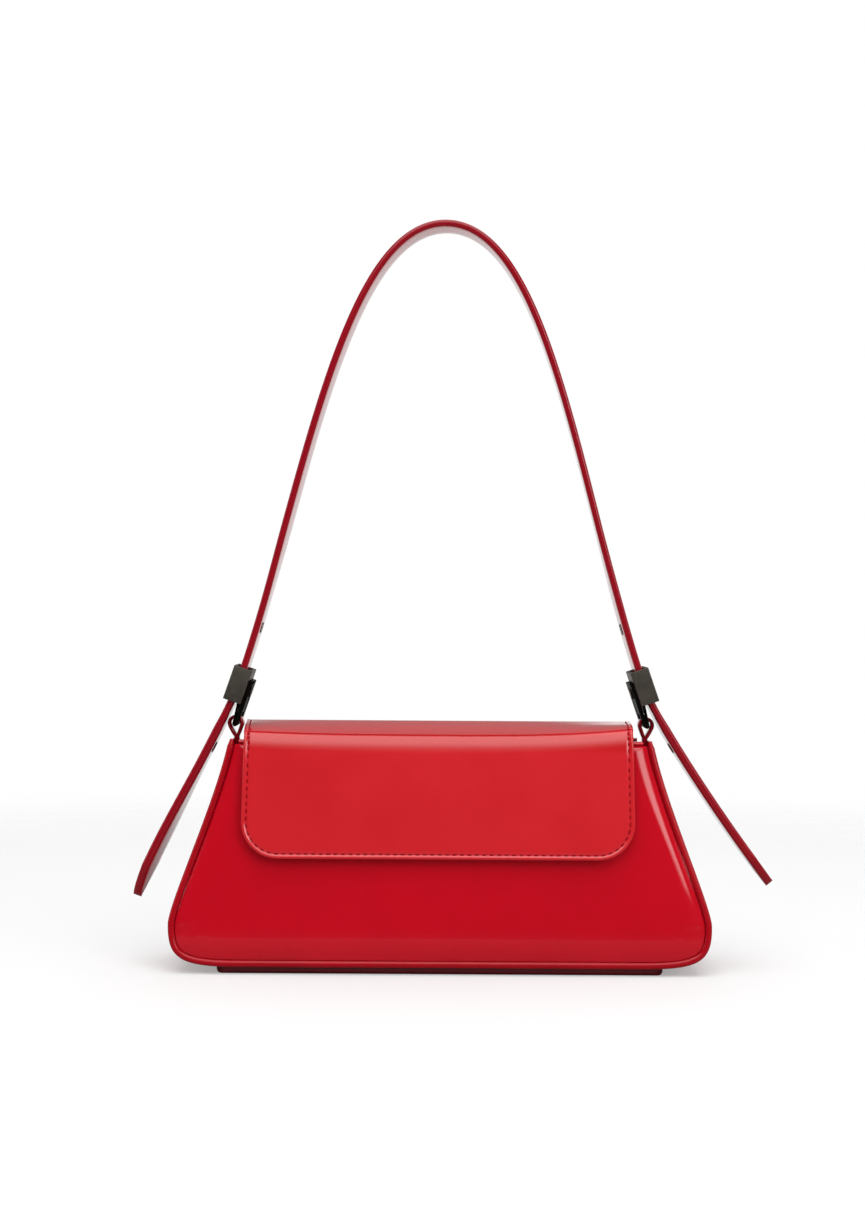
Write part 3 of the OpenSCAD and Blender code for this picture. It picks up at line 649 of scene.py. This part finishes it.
def make_pocket():
    """Slip pocket: a cloth patch with a hem that stands a little off the lining at its top."""
    half_w, high = 55, body_h - facing_h - 6
    low = high - 55
    depth = inner_depth + 0.08

    def side(d, k):
        z = np.linspace(high - d, low + d, 18)
        return np.stack([np.full(18, half_w - d), z], 1)

    def place(x, z, h):
        """Stands off by up to 0.7 mm in the middle of its mouth."""
        slack = 0.7 * np.cos(np.clip(x / half_w, -1, 1) * np.pi / 2)
        slack = slack * np.clip((z - low) / (high - low), 0, 1) ** 3
        return np.stack([x, seam_y(z) - depth - h - slack * (h > 0.2), z], 1)
    hem = [(5, 0.0), (0.15, 0.0), (0, 0.35), (0.15, 0.75), (0.8, 0.95), (2.4, 0.95), (2.7, 0.7), (5, 0.7)]
    piece = edged_sheet("slip_pocket_patch", side, hem, place, 24)
    return dress(piece, lining_cloth, "lining", "bag", instead=["slip_pocket"])


make_pocket()


# Leather tabs

stem_centre = gusset_out + gusset_t + 0.05 + tab_ply
eye_centre = np.array([bar_x + 0.45, bar_z])


def make_tab(name, mirror, node):
    """A strip of leather round the bar: two plies down the stem, and between them an arc of 3 mm about
    the bar that meets the stem on its tangents. Its section is rounded at the painted edges."""
    stem_in, stem_mid, stem_out = (half_outline(stem_centre + d * tab_ply / 2, body_h + 0.5)
                                   for d in (1, 0, -1))
    stem_in, stem_out = (p[p[:, 1] > body_h - tab_stem] for p in (stem_in, stem_out))
    r = eye_r + tab_ply / 2
    waist = stem_mid[0] + 0.16 * (eye_centre - stem_mid[0])
    v = waist - eye_centre
    half = math.acos(r / np.linalg.norm(v))
    a = math.atan2(v[1], v[0]) + half + (2 * np.pi - 2 * half) * np.linspace(0, 1, 30)
    arc = eye_centre + r * np.stack([np.cos(a), np.sin(a)], 1)
    line = np.concatenate([stem_out[::-1], [waist + [0.25, 0]], arc, [waist - [0.25, 0]], stem_in])
    # round the joins: resample and average
    places, _ = along_curve(line, 0.6)
    for _ in range(3):
        places[1:-1] = (places[:-2] + 2 * places[1:-1] + places[2:]) / 4
    path = upright(places)
    up = np.cross(upright(unit(np.gradient(places, axis=0))), Y_WAY)
    if mirror:
        path, up = path * [-1, 1, 1], up * [-1, 1, 1]
    w, t = tab_w / 2, tab_ply / 2 - 0.03
    section = np.array([(0.45 - w, -t), (w - 0.45, -t), (w - 0.1, -t * 0.6), (w, 0), (w - 0.1, t * 0.6),
                        (w - 0.45, t), (0.45 - w, t), (0.1 - w, t * 0.6), (-w, 0), (0.1 - w, -t * 0.6)])
    paint = np.array([0, 0, 1, 1, 1, 0, 0, 1, 1, 1.0])
    thick = 0.4 * np.clip((path[:, 2] - mouth) / 2.5, 0, 1)      # the loop's outer side is built up
    section = section * np.ones((len(path), 1, 1))
    section[..., 1] -= thick[:, None] * (section[..., 1] < 0)
    piece = swept(name, path, Y_WAY, up, section, {"paint": paint}, 70)
    return dress(piece, strap_finish, "body_leather", "bag", instead=[node])


make_tab("tab_left_strip", True, "tab_left")
make_tab("tab_right_strip", False, "tab_right")


# Flap

band_way = unit(fold_back - fold_front)
band_up = np.array([-band_way[1], band_way[0]])
drop_way = np.array([-math.sin(lean), -math.cos(lean)])
drop_out = np.array([-math.cos(lean), math.sin(lean)])
back_way = np.array([math.sin(lean), -math.cos(lean)])
back_out = np.array([math.cos(lean), math.sin(lean)])


def meet(p, a, q, b):
    """Where the lines p + s·a and q + t·b meet, in the YZ plane."""
    s, _ = np.linalg.solve(np.stack([a, -b], 1), q - p)
    return p + s * a


front_corner = meet(fold_front + flap_t / 2 * band_up, -band_way,
                    fold_front + flap_t / 2 * drop_out, drop_way)
back_corner = meet(fold_back + flap_t / 2 * band_up, band_way,
                   fold_back + flap_leather_t / 2 * back_out, back_way)
top_len = float(np.linalg.norm(back_corner - front_corner))
hem_v = -top_len - flap_back_drop - 1.0
low_v = flap_drop + float(np.dot(fold_front - front_corner, drop_way))
crease_back, roll_len, back_round = 3.2, 17.0, 3.2
flap_shift = -1.2                             # the photographed flap lies a little to the left
flap_wide = 0.9                               # it is a little wider at its front fold
flap_up = (1.1, -0.4, 0.3)                    # and higher: at its back fold, its crease and its front
roll_slope = math.radians(50)                 # the leather's slope just in front of the crease
roll_start = np.array([-math.cos(roll_slope), -math.sin(roll_slope)])


def fold_lift(x, v):
    """The front fold sags between the flap's ends: its height over the middle's, 1.5·|u|³ at the left
    and 3.4·|u|³ at the right, dies away to the back fold and 35 mm down the front."""
    share = np.where(v < -crease_back, ramp(v, -top_len, -crease_back), ramp(v, 35, -crease_back))
    return np.where(x > 0, 3.4, 1.5) * (np.abs(x) / flap_half) ** 3 * share


def flap_place(x, v, h):
    """A point of the flap: v is the distance from the front corner, down the front where positive and
    back over the band where negative; h is the height over the outer face. Between the scored crease
    and the hanging front lies a soft roll, a Bézier from the crease to the front's plane."""
    x, v, h = (np.asarray(a, float) for a in (x, v, h))
    point, out = np.empty((2, len(v), 2))
    behind, hang = v < -top_len - back_round, v >= roll_len
    bend = (v <= -top_len + back_round) & ~behind
    on_band = (v <= -crease_back) & (v > -top_len + back_round)
    roll = (v > -crease_back) & ~hang
    point[on_band], out[on_band] = front_corner - v[on_band, None] * band_way, band_up
    point[hang], out[hang] = front_corner + v[hang, None] * drop_way, drop_out
    point[behind], out[behind] = back_corner + (-top_len - v[behind, None]) * back_way, back_out
    # roll
    start, last = front_corner + crease_back * band_way, front_corner + drop_way * roll_len
    handles = (start + roll_start * (roll_len + crease_back) * 0.3, last - drop_way * roll_len * 0.6)
    point[roll], way = bezier((start, *handles, last), ((v + crease_back) / (roll_len + crease_back))[roll])
    out[roll] = np.stack([way[:, 1], -way[:, 0]], 1)
    # back fold: a quadratic Bézier round its corner
    u = ((-top_len + back_round - v) / (2 * back_round))[bend, None]
    a, c = back_corner - back_round * band_way, back_corner + back_round * back_way
    point[bend] = (1 - u) ** 2 * a + 2 * (1 - u) * u * back_corner + u * u * c
    way = unit((1 - u) * (back_corner - a) + u * (c - back_corner))
    out[bend] = np.stack([-way[:, 1], way[:, 0]], 1)
    groove = -0.45 * np.exp(-((v + crease_back - 0.8) / 0.4) ** 2) * (h > -0.5)
    crown = 0.6 * (1 - ((2 * v + top_len + crease_back) / (top_len - crease_back)) ** 2)
    crown = np.where((v < -crease_back) & (v > -top_len), crown, 0)
    swell = 0.35 * np.clip(1 - (x / 90) ** 2, 0, 1)
    swell = swell * np.clip((v - 8) / 20, 0, 1) * np.clip((52 - v) / 20, 0, 1)
    p = point + (h + groove + swell + crown)[:, None] * out
    p[:, 1] += fold_lift(x, v) + np.interp(v, (-top_len, -crease_back, 30), flap_up)
    return np.stack([x + flap_shift, p[:, 0], p[:, 1]], 1)


def flap_half_width(v):
    v = np.asarray(v, float)
    back, low = np.clip(-v / top_len, 0, 1), np.clip(v / (low_v - flap_corner), 0, 1)
    return flap_half + flap_back_extra * back + flap_flare * low + flap_wide * (1 - 0.6 * back) * (1 - low)


rows_hem = np.array([hem_v, hem_v + 7.5, hem_v + 13])
rows_back = np.linspace(-top_len - back_round, -top_len + back_round, 13)
rows_band = np.linspace(-top_len + back_round, -crease_back - 2.5, 17)[1:]
rows_crease = -crease_back + np.array([-1.8, -1.2, -0.8, -0.5, -0.25, 0, 0.25, 0.5, 0.65, 0.8, 0.95, 1.1,
                                       1.4, 1.8])
rows_roll = np.linspace(-crease_back + 2.5, roll_len, 22)
rows_front = np.linspace(roll_len, low_v - flap_corner, 22)[1:]
side_v = np.concatenate([rows_hem, rows_back, rows_band, rows_crease, rows_roll, rows_front])
split_row = int(np.argmin(np.abs(side_v + top_len / 2)))
arc_a = np.linspace(0, np.pi / 2, 17)[1:]
side_x = flap_half_width(side_v)
low_half = flap_half + flap_flare
edge_line = np.concatenate([
    np.stack([side_x, side_v], 1),
    np.stack([low_half - flap_corner + flap_corner * np.cos(arc_a),
              low_v - flap_corner + flap_corner * np.sin(arc_a)], 1)])
edge_way = np.gradient(edge_line, axis=0)
edge_way[-1] = (-1, 0)
edge_way = unit(edge_way)
edge_in = np.stack([-edge_way[:, 1], edge_way[:, 0]], 1)
edge_in[:len(side_v)] = (-1, 0)


def flap_side(d, k=0):
    p = edge_line + d * edge_in
    p[:, 1] = np.maximum(p[:, 1], hem_v + d)
    return p


# (distance in, height): inner face, turned edge, bead, stitch channel, outer face
bead = [(0.25, -flap_t + 0.25), (0.0, -flap_t * 0.6), (0.0, -0.7), (0.12, -0.22), (0.42, 0.12),
        (0.85, 0.28), (1.3, 0.22), (1.7, 0.0), (2.0, -0.15), (2.4, -0.22), (2.8, -0.16), (3.2, -0.03),
        (4.0, 0.02), (8, 0.0)]
flap_profile = [(8, -flap_leather_t), (5.2, -flap_leather_t), (5.0, -flap_t), (0.7, -flap_t)] + bead


def flap_body(x, v, h):
    """The sewn back and its fold are one ply: the inner side comes up to the leather's thickness."""
    one_ply = ramp(v, -top_len + 4, -top_len - 4)
    h = np.where(h < -flap_leather_t, h + one_ply * (-flap_leather_t - h), h)
    return flap_place(x, v, h)


front_bend = dict(start=(0, fold_front[0] + 7, fold_front[1]), end=(0, fold_front[0], fold_front[1] - 9))
back_bend = dict(start=(0, fold_back[0], fold_back[1] - 8), end=(0, fold_back[0] - 8, fold_back[1]))
flap_upper, flap_lower = (
    edged_sheet(name, flap_side, flap_profile, flap_body, 72, split_row, part)
    for name, part in (("flap_back_leather", "upper"), ("flap_front_leather", "lower")))
dress(flap_upper, flap_leather, "flap_leather", "bag", "flap_band", instead=["flap_back"], **back_bend)
dress(flap_lower, flap_leather, "flap_leather", "flap_band", "flap_drop",
      instead=["flap_top", "flap_front"], **front_bend)

lining_outer, lining_inner = -flap_t + 0.03, -flap_leather_t - 0.02
lining_profile = [(8, lining_outer), (5.25, lining_outer), (5.1, -flap_t + 0.3), (5.1, -flap_leather_t - 0.1),
                  (5.3, lining_inner), (8, lining_inner)]
first_lining_row = int(np.argmax(side_v > -top_len + 4))
split_lining = split_row - first_lining_row


def lining_side(d, k=0):
    return flap_side(d)[first_lining_row:]


upper_lining, lower_lining = (
    edged_sheet(name, lining_side, lining_profile, flap_place, 36, split_lining, part)
    for name, part in (("flap_band_lining", "upper"), ("flap_front_cloth", "lower")))
dress(upper_lining, lining_cloth, "lining", "flap_band", instead=["flap_top_lining"])
dress(lower_lining, lining_cloth, "lining", "flap_band", "flap_drop", instead=["flap_front_lining"],
      **front_bend)

# Stitches along the flap's edges, in the channel inside the bead
channel, stitch_pitch, stitch_low = 2.4, 3.6, -0.1


def flap_stitches(name, rows, with_low, *bodies, **bend):
    """Stitches follow the channel: points of the sheet at its depth, with the directions measured on
    the sheet itself."""
    line = flap_side(channel)[rows]
    curves = [line, line * [-1, 1]]
    if with_low:
        run = np.linspace(line[-1, 0], -line[-1, 0], 60)[1:-1]
        low = np.stack([run, np.full(58, line[-1, 1])], 1)
        curves = [np.concatenate([line, low, line[::-1] * [-1, 1]])]

    def on_sheet(at, h):
        return flap_place(at[:, 0], at[:, 1], np.full(len(at), h))
    lines = (along_curve(c, stitch_pitch, stitch_pitch / 2) for c in curves)
    at, way = (np.concatenate(a) for a in zip(*lines))
    places = on_sheet(at, stitch_low)
    along = unit(on_sheet(at + way * 0.4, stitch_low) - places)
    piece = stitches(name, places, along, unit(on_sheet(at, stitch_low + 0.5) - places))
    return dress(piece, flap_thread, "flap_leather", *bodies, **bend)


flap_stitches("flap_front_stitches", slice(split_row, None), True, "flap_band", "flap_drop", **front_bend)
flap_stitches("flap_back_stitches", slice(1, split_row + 1), False, "bag", "flap_band", **back_bend)


# Strap

lean_way = np.array([-math.sin(math.radians(buckle_lean)), math.cos(math.radians(buckle_lean))])
lean_out = np.array([lean_way[1], -lean_way[0]])
sleeve_mid = hanger_t - bar_r + sleeve_d / 2
sleeve_centre = np.array([bar_x, bar_z]) + (sleeve_up + sleeve_h / 2) * lean_way + sleeve_mid * lean_out
leg_rise = strap_top - strap_t / 2 - sleeve_centre[1]
TAIL_STEPS, LEG_STEPS = 40, 110


def half_strap(reach, tip_z, tip_lean, shift):
    """Middle line of the strap's right half, from the tail's tip to the top, as in the part's source."""
    tip = np.array([top_w / 2 + reach, tip_z])
    a = math.radians(tip_lean)
    tail = [tip, tip + 24 * np.array([-math.sin(a), math.cos(a)]),
            sleeve_centre - 20 * lean_way, sleeve_centre]
    top = np.array([shift, sleeve_centre[1] + leg_rise])
    leg = [sleeve_centre, sleeve_centre + 0.42 * leg_rise * lean_way, top + [0.52 * sleeve_centre[0], 0], top]
    return np.concatenate([bezier(tail, np.linspace(0, 1, TAIL_STEPS + 1))[0],
                           bezier(leg, np.linspace(0, 1, LEG_STEPS + 1)[1:])[0]])


line_l, line_r = half_strap(45.5, 36, 18, -strap_shift), half_strap(60, 41.5, 40, strap_shift)
strap_line, _ = along_curve(np.concatenate([line_l * [-1, 1], line_r[:-1][::-1]]), 1.5)
strap_s = length_along(strap_line)
strap_len = strap_s[-1]


def tail_width(s):
    """Half-width at the distance s from a tip: 10·(s/17)^0.55 over the point, then 10."""
    return strap_w / 2 * np.clip(s / tail_point, 0, 1) ** 0.55


def strap_section(half_w, half_t):
    """Section of the strap, per path point: flat faces with a creased line near each edge, and convex
    painted edges with a fine seam between the plies."""
    e = np.array([(-1, 0.0), (-0.995, 0.35), (-0.975, 0.68), (-0.93, 0.9), (-0.86, 1.0), (-0.82, 0.97),
                  (-0.79, 1.0)])
    upper = np.concatenate([e, [(-0.4, 1), (0, 1), (0.4, 1)], e[::-1] * [-1, 1]])
    lower = upper[::-1][1:-1] * [1, -1]
    loop = np.concatenate([upper, lower])
    size = np.stack([half_w, np.broadcast_to(half_t, half_w.shape)], 1)
    section = loop[None] * size[:, None]
    # edges keep their real shape where the strap narrows
    inset = (1 - np.abs(loop[:, 0])) * strap_w / 2
    narrow = np.sign(loop[:, 0]) * np.clip(half_w[:, None] - inset, 0.02 * half_w[:, None], None)
    section[..., 0] = np.where(np.abs(loop[:, 0]) > 0.7, narrow, section[..., 0])
    paint = np.clip((np.abs(loop[:, 0]) - 0.9) / 0.04, 0, 1)
    return section, paint


def peg_place(line):
    """Distance along the middle line from a tail's tip to the peg's eyelet."""
    return float(length_along(line)[TAIL_STEPS]) - peg_drop


def half_thickness(below_peg):
    """The plies stand a little apart in the tails: half of 3.5 mm, and 1.2 times that from 24 mm
    below the peg."""
    return strap_t / 2 * (1 + 0.2 * ramp(below_peg, 12, 24))


def make_strap():
    """The strip follows the middle line. Above the eyelets it is turned by up to 2.6° about the
    vertical, so that its left leg shows more of the inner face. Below them the left tail is turned
    by up to 7°, and its tip lies 2.4 mm lower and 1 mm further out."""
    point_s = tail_point * np.linspace(0.02, 1, 22) ** 2
    plain_s = strap_s[(strap_s > tail_point + 1) & (strap_s < strap_len - tail_point - 1)]
    fine_s = np.concatenate([point_s, plain_s, strap_len - point_s[::-1]])
    below_l = peg_place(line_l) - fine_s
    below = np.maximum(below_l, peg_place(line_r) - (strap_len - fine_s))
    left_tail = ramp(below_l, 38, 83)
    line = np.stack([np.interp(fine_s, strap_s, c) for c in strap_line.T], 1)
    line -= left_tail[:, None] * [1.0, 2.4]
    way = upright(unit(np.gradient(line, axis=0)))
    level_up = np.cross(way, Y_WAY)
    section, paint = strap_section(tail_width(np.minimum(fine_s, strap_len - fine_s)), half_thickness(below))
    turn = np.tan(np.radians(2.6 * ramp(-below, 38, 88) + 7 * left_tail))
    across = unit(Y_WAY + (turn * level_up[:, 0])[:, None] * level_up)
    return swept("strap_leather", upright(line), across, np.cross(way, across), section, {"paint": paint}, 50)


strap_piece = make_strap()


def eyelet_frames(line, mirror):
    """Frames of a side's eyelets on the middle line: Z square to the strap, X along it."""
    s, at_peg, frames = length_along(line), peg_place(line), []
    for k in (-1, 0, 1):
        p, q = (np.array([np.interp(at_peg + k * eyelet_pitch + d, s, c) for c in line.T]) for d in (0, 0.5))
        x, z = p
        along_x, along_z = unit(q - p)
        if mirror:
            x, along_x = -x, -along_x
        along, out = np.array([along_x, 0, along_z]), np.array([along_z, 0, -along_x])
        frames.append(np.block([[np.stack([along, np.cross(out, along), out, (x, 0, z)], 1)], [0, 0, 0, 1]]))
    return frames


def cut_holes(piece, frames, radius):
    """Cuts a round hole through the piece at each frame."""
    profile = [(0.0, -4), (radius, -4), (radius, 4), (0.0, 4)]
    cutter = join([turned("cutter", profile, m, 32, close=False) for m in frames])
    hole = piece.modifiers.new("holes", "BOOLEAN")
    hole.object, hole.operation, hole.solver = cutter, "DIFFERENCE", "EXACT"
    depsgraph = bpy.context.evaluated_depsgraph_get()
    cut = bpy.data.meshes.new_from_object(piece.evaluated_get(depsgraph))
    piece.modifiers.clear()
    piece.data = cut
    bpy.data.objects.remove(cutter)


strap_hole_r = 2.42
eyelet_sets = {"left": eyelet_frames(line_l, True), "right": eyelet_frames(line_r, False)}
cut_holes(strap_piece, eyelet_sets["left"] + eyelet_sets["right"], strap_hole_r)
dress(strap_piece, strap_finish, "strap_leather", "strap", instead=["strap_outer", "strap_lining"])


def eyelet_profile(half_t):
    """Half of a ring: a tube of 2.03 mm through the strap, rolled over on both faces."""
    k = np.linspace(-np.pi / 2, np.pi / 2, 9)
    roll = np.stack([2.45 + 0.5 * np.cos(k), half_t + 0.24 + 0.2 * np.sin(k)], 1)
    return np.concatenate([[(2.03, -half_t - 0.2)], roll[::-1] * [1, -1], [(2.36, -half_t), (2.36, half_t)],
                           roll, [(2.03, half_t + 0.2)]])


for side_name, frames in eyelet_sets.items():
    rings = join([turned(f"eyelets_{side_name}_rings" if k < 0 else "ring",
                         eyelet_profile(float(half_thickness(-k * eyelet_pitch))), m, 40)
                  for k, m in zip((-1, 0, 1), frames)])
    dress(rings, bright_metal, "bright_metal", "strap", instead=[f"eyelets_{side_name}"])

# Buckles
for side_name in ("left", "right"):
    for thing, ending, rounding, metal in (
            ("sleeve", "tube", 0.28, gunmetal), ("hanger", "plate", 0.22, hanger_gunmetal_painted_shade),
            ("peg", "pin", 0.2, gunmetal)):
        node = f"{thing}_{side_name}"
        dress(bevelled_copy(f"{node}_{ending}", node, rounding), metal, "gunmetal", "strap", instead=[node])


# Magnetic snap

def snap_matrix():
    """A frame square to the leaning front, its Z out of the bag and its origin on the panel."""
    z = fold_front[1] - (flap_drop - snap_up) * math.cos(lean)
    out = np.array([0, -math.cos(lean), math.sin(lean)])
    down = np.array([0, -math.sin(lean), -math.cos(lean)])
    place = (0, -seam_y(z) - panel_crown, z)
    return np.block([[np.stack([np.cross(down, out), down, out, place], 1)], [0, 0, 0, 1]])


snap_at = snap_matrix()
socket_t = snap_gap * math.cos(lean) - 1.0
socket = turned("snap_socket_ring",
                [(3.0, 0.05), (snap_r - 0.3, 0.05), (snap_r, 0.35), (snap_r, socket_t - 0.5),
                 (snap_r - 0.15, socket_t - 0.2), (snap_r - 0.5, socket_t - 0.05), (6.2, socket_t - 0.05),
                 (6.0, socket_t - 0.25), (3.6, socket_t - 0.25), (3.3, socket_t - 0.3),
                 (3.0, socket_t - 0.6)],
                snap_at, 64)
dress(socket, bright_metal, "bright_metal", "bag", instead=["snap_socket"])
plate_low, plate_high = socket_t + 0.2, socket_t + 0.95
stud = turned("snap_stud_plate",
              [(0.0, 0.2), (1.9, 0.2), (2.4, 0.35), (2.6, 0.7), (2.6, plate_low), (6.0, plate_low),
               (6.2, plate_low + 0.12), (snap_r - 0.4, plate_low), (snap_r, plate_low + 0.3),
               (snap_r, plate_high - 0.15), (snap_r - 0.2, plate_high), (1.5, plate_high),
               (1.5, plate_high + 0.5), (0.0, plate_high + 0.5)], snap_at, 64, close=False)
dress(stud, bright_metal, "bright_metal", "flap_drop", instead=["snap_stud"])

# CAD nodes that stay
for name, material in (("base_board", board_fibre), ("front_board", board_fibre), ("back_board", board_fibre),
                       ("snap_backplate_body", bright_metal), ("snap_backplate_flap", bright_metal)):
    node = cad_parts[name]
    node.data.materials.clear()
    node.data.materials.append(material)


# Floor, world and lamps

FLOOR_GLOW, FLOOR_Z = 0.31, -0.02              # the floor lies just under the base, in mm
PLAIN_LIGHT = 0.60


def make_floor():
    """A round of paper that fades into the white world, by the distance from the bag. To the camera it glows
    a little, so that it is white where no shadow falls. The gloss sees it darker than it is, a painted darker
    reflection of the floor, and behind the bag sees it glow white, as a white backdrop."""
    n, radii = 96, np.array([0, 100, 200, 300, 400, 500, 600, 700, 800, 1000])[:, None]
    a = np.linspace(0, 2 * np.pi, n, endpoint=False)
    points = np.stack([radii * np.cos(a), radii * np.sin(a), np.full((len(radii), n), FLOOR_Z)], -1)
    floor = make_mesh("floor", points.reshape(-1, 3), grid_faces(len(radii), n, close_columns=True))
    f = Finish("paper floor", Roughness=0.9, Specular_IOR_Level=0.0)
    reach = f.value("Value", "ShaderNodeVectorMath", dict(operation="LENGTH"), {0: f.place()})
    far = reach.between(0.45, 0.95)
    path = f.node("ShaderNodeLightPath")
    seen, mirrored = (Value(f, path.outputs[f"Is {kind} Ray"]) for kind in ("Camera", "Glossy"))
    behind = f.value("Y", "ShaderNodeSeparateXYZ", None, {0: f.place()}).between(0.04, 0.35)
    # painted reflection: glossy rays see the floor darker, 0.17 against 0.5
    f.set(f.shader, {"Base Color": f.mix((0.50, 0.50, 0.50), (0.17, 0.17, 0.17), mirrored)})
    glow = f.node("ShaderNodeEmission", None, {"Color": (1, 1, 1),
                                               "Strength": seen * FLOOR_GLOW + mirrored * behind * 0.6})
    both = f.node("ShaderNodeAddShader", None, {0: f.shader.outputs[0], 1: glow.outputs[0]})
    clear = f.node("ShaderNodeBsdfTransparent")
    faded = f.node("ShaderNodeMixShader", None, {0: far, 1: both.outputs[0], 2: clear.outputs[0]})
    f.set(f.tree.nodes["Material Output"], {"Surface": faded.outputs[0]})
    floor.data.materials.append(f.material)


def make_world():
    """White to the camera. What the gloss mirrors, by the ray's direction, is a white backdrop low
    behind the bag and a dark room elsewhere; the plain light is even."""
    world = bpy.data.worlds.new("studio")
    bpy.context.scene.world = world
    world.use_nodes = True
    f = Nodes(world.node_tree)
    path = f.node("ShaderNodeLightPath")
    camera_ray, glossy_ray, clear_ray = (Value(f, path.outputs[f"Is {kind} Ray"])
                                         for kind in ("Camera", "Glossy", "Transmission"))
    way = f.node("ShaderNodeSeparateXYZ", None, {0: f.node("ShaderNodeTexCoord").outputs["Generated"]})
    y, z = (Value(f, way.outputs[axis]) for axis in "YZ")
    behind = y.between(0.2, 0.7)
    low, front = 1 - z.between(0.09, 0.23), 1 - z.between(-0.03, 0.13)
    mirrored = 0.012 + behind * (0.23 + low * 0.65) + (1 - behind) * front * 0.08
    white = (camera_ray + clear_ray).math("MINIMUM", 1.0)
    level = white + (1 - white) * (glossy_ray * mirrored + (1 - glossy_ray) * PLAIN_LIGHT)
    f.set(f.tree.nodes["Background"], {"Color": (1, 1, 1), "Strength": level})


make_floor()
make_world()


def softbox(name, place, target, wide, high, radiance, fade_low=0.35, fade_side=0.3):
    """A glowing cloth panel, invisible to the camera, that faces the target. Its glow fades towards its
    lower edge and its sides, so that its mirror image has soft ends."""
    way = unit(np.array(target, float) - place)
    side = unit(np.cross(way, Z_WAY))
    up = np.cross(side, way)
    t = np.linspace(-1, 1, 17)
    u, v = (a.ravel() for a in np.meshgrid(t, t, indexing="ij"))
    points = np.array(place) + u[:, None] * side * wide / 2 + v[:, None] * up * high / 2
    glow = ramp(v, -1, 2 * fade_low - 1) * ramp(np.abs(u), 1, 1 - fade_side)
    panel = make_mesh(name, points / MM, grid_faces(17, 17), {"glow": glow}, weld=False)
    panel.visible_camera = False
    f = Finish(name + " cloth")
    lamp = f.node("ShaderNodeEmission", None,
                  {"Color": (1, 1, 1), "Strength": f.attribute("glow") * radiance})
    f.set(f.tree.nodes["Material Output"], {"Surface": lamp.outputs[0]})
    panel.data.materials.append(f.material)


softbox("softbox_high", (0, -0.75, 1.35), (0, 0, 0.10), 1.8, 2.6, 3.25, 0.42)
softbox("softbox_right", (0.90, -1.24, 0.68), (0.1, 0, 0.08), 0.95, 0.74, 4.8, 0.25, 0.6)
softbox("softbox_back", (0, 1.0, 1.15), (0, 0, 0.1), 1.6, 0.9, 1.6)
for side_name, x in (("left", -1.35), ("right", 1.35)):
    softbox(f"softbox_{side_name}_side", (x, -0.25, 0.45), (0, 0, 0.08), 0.4, 0.8, 3.0)

bpy.context.scene.view_settings.view_transform = "Standard"
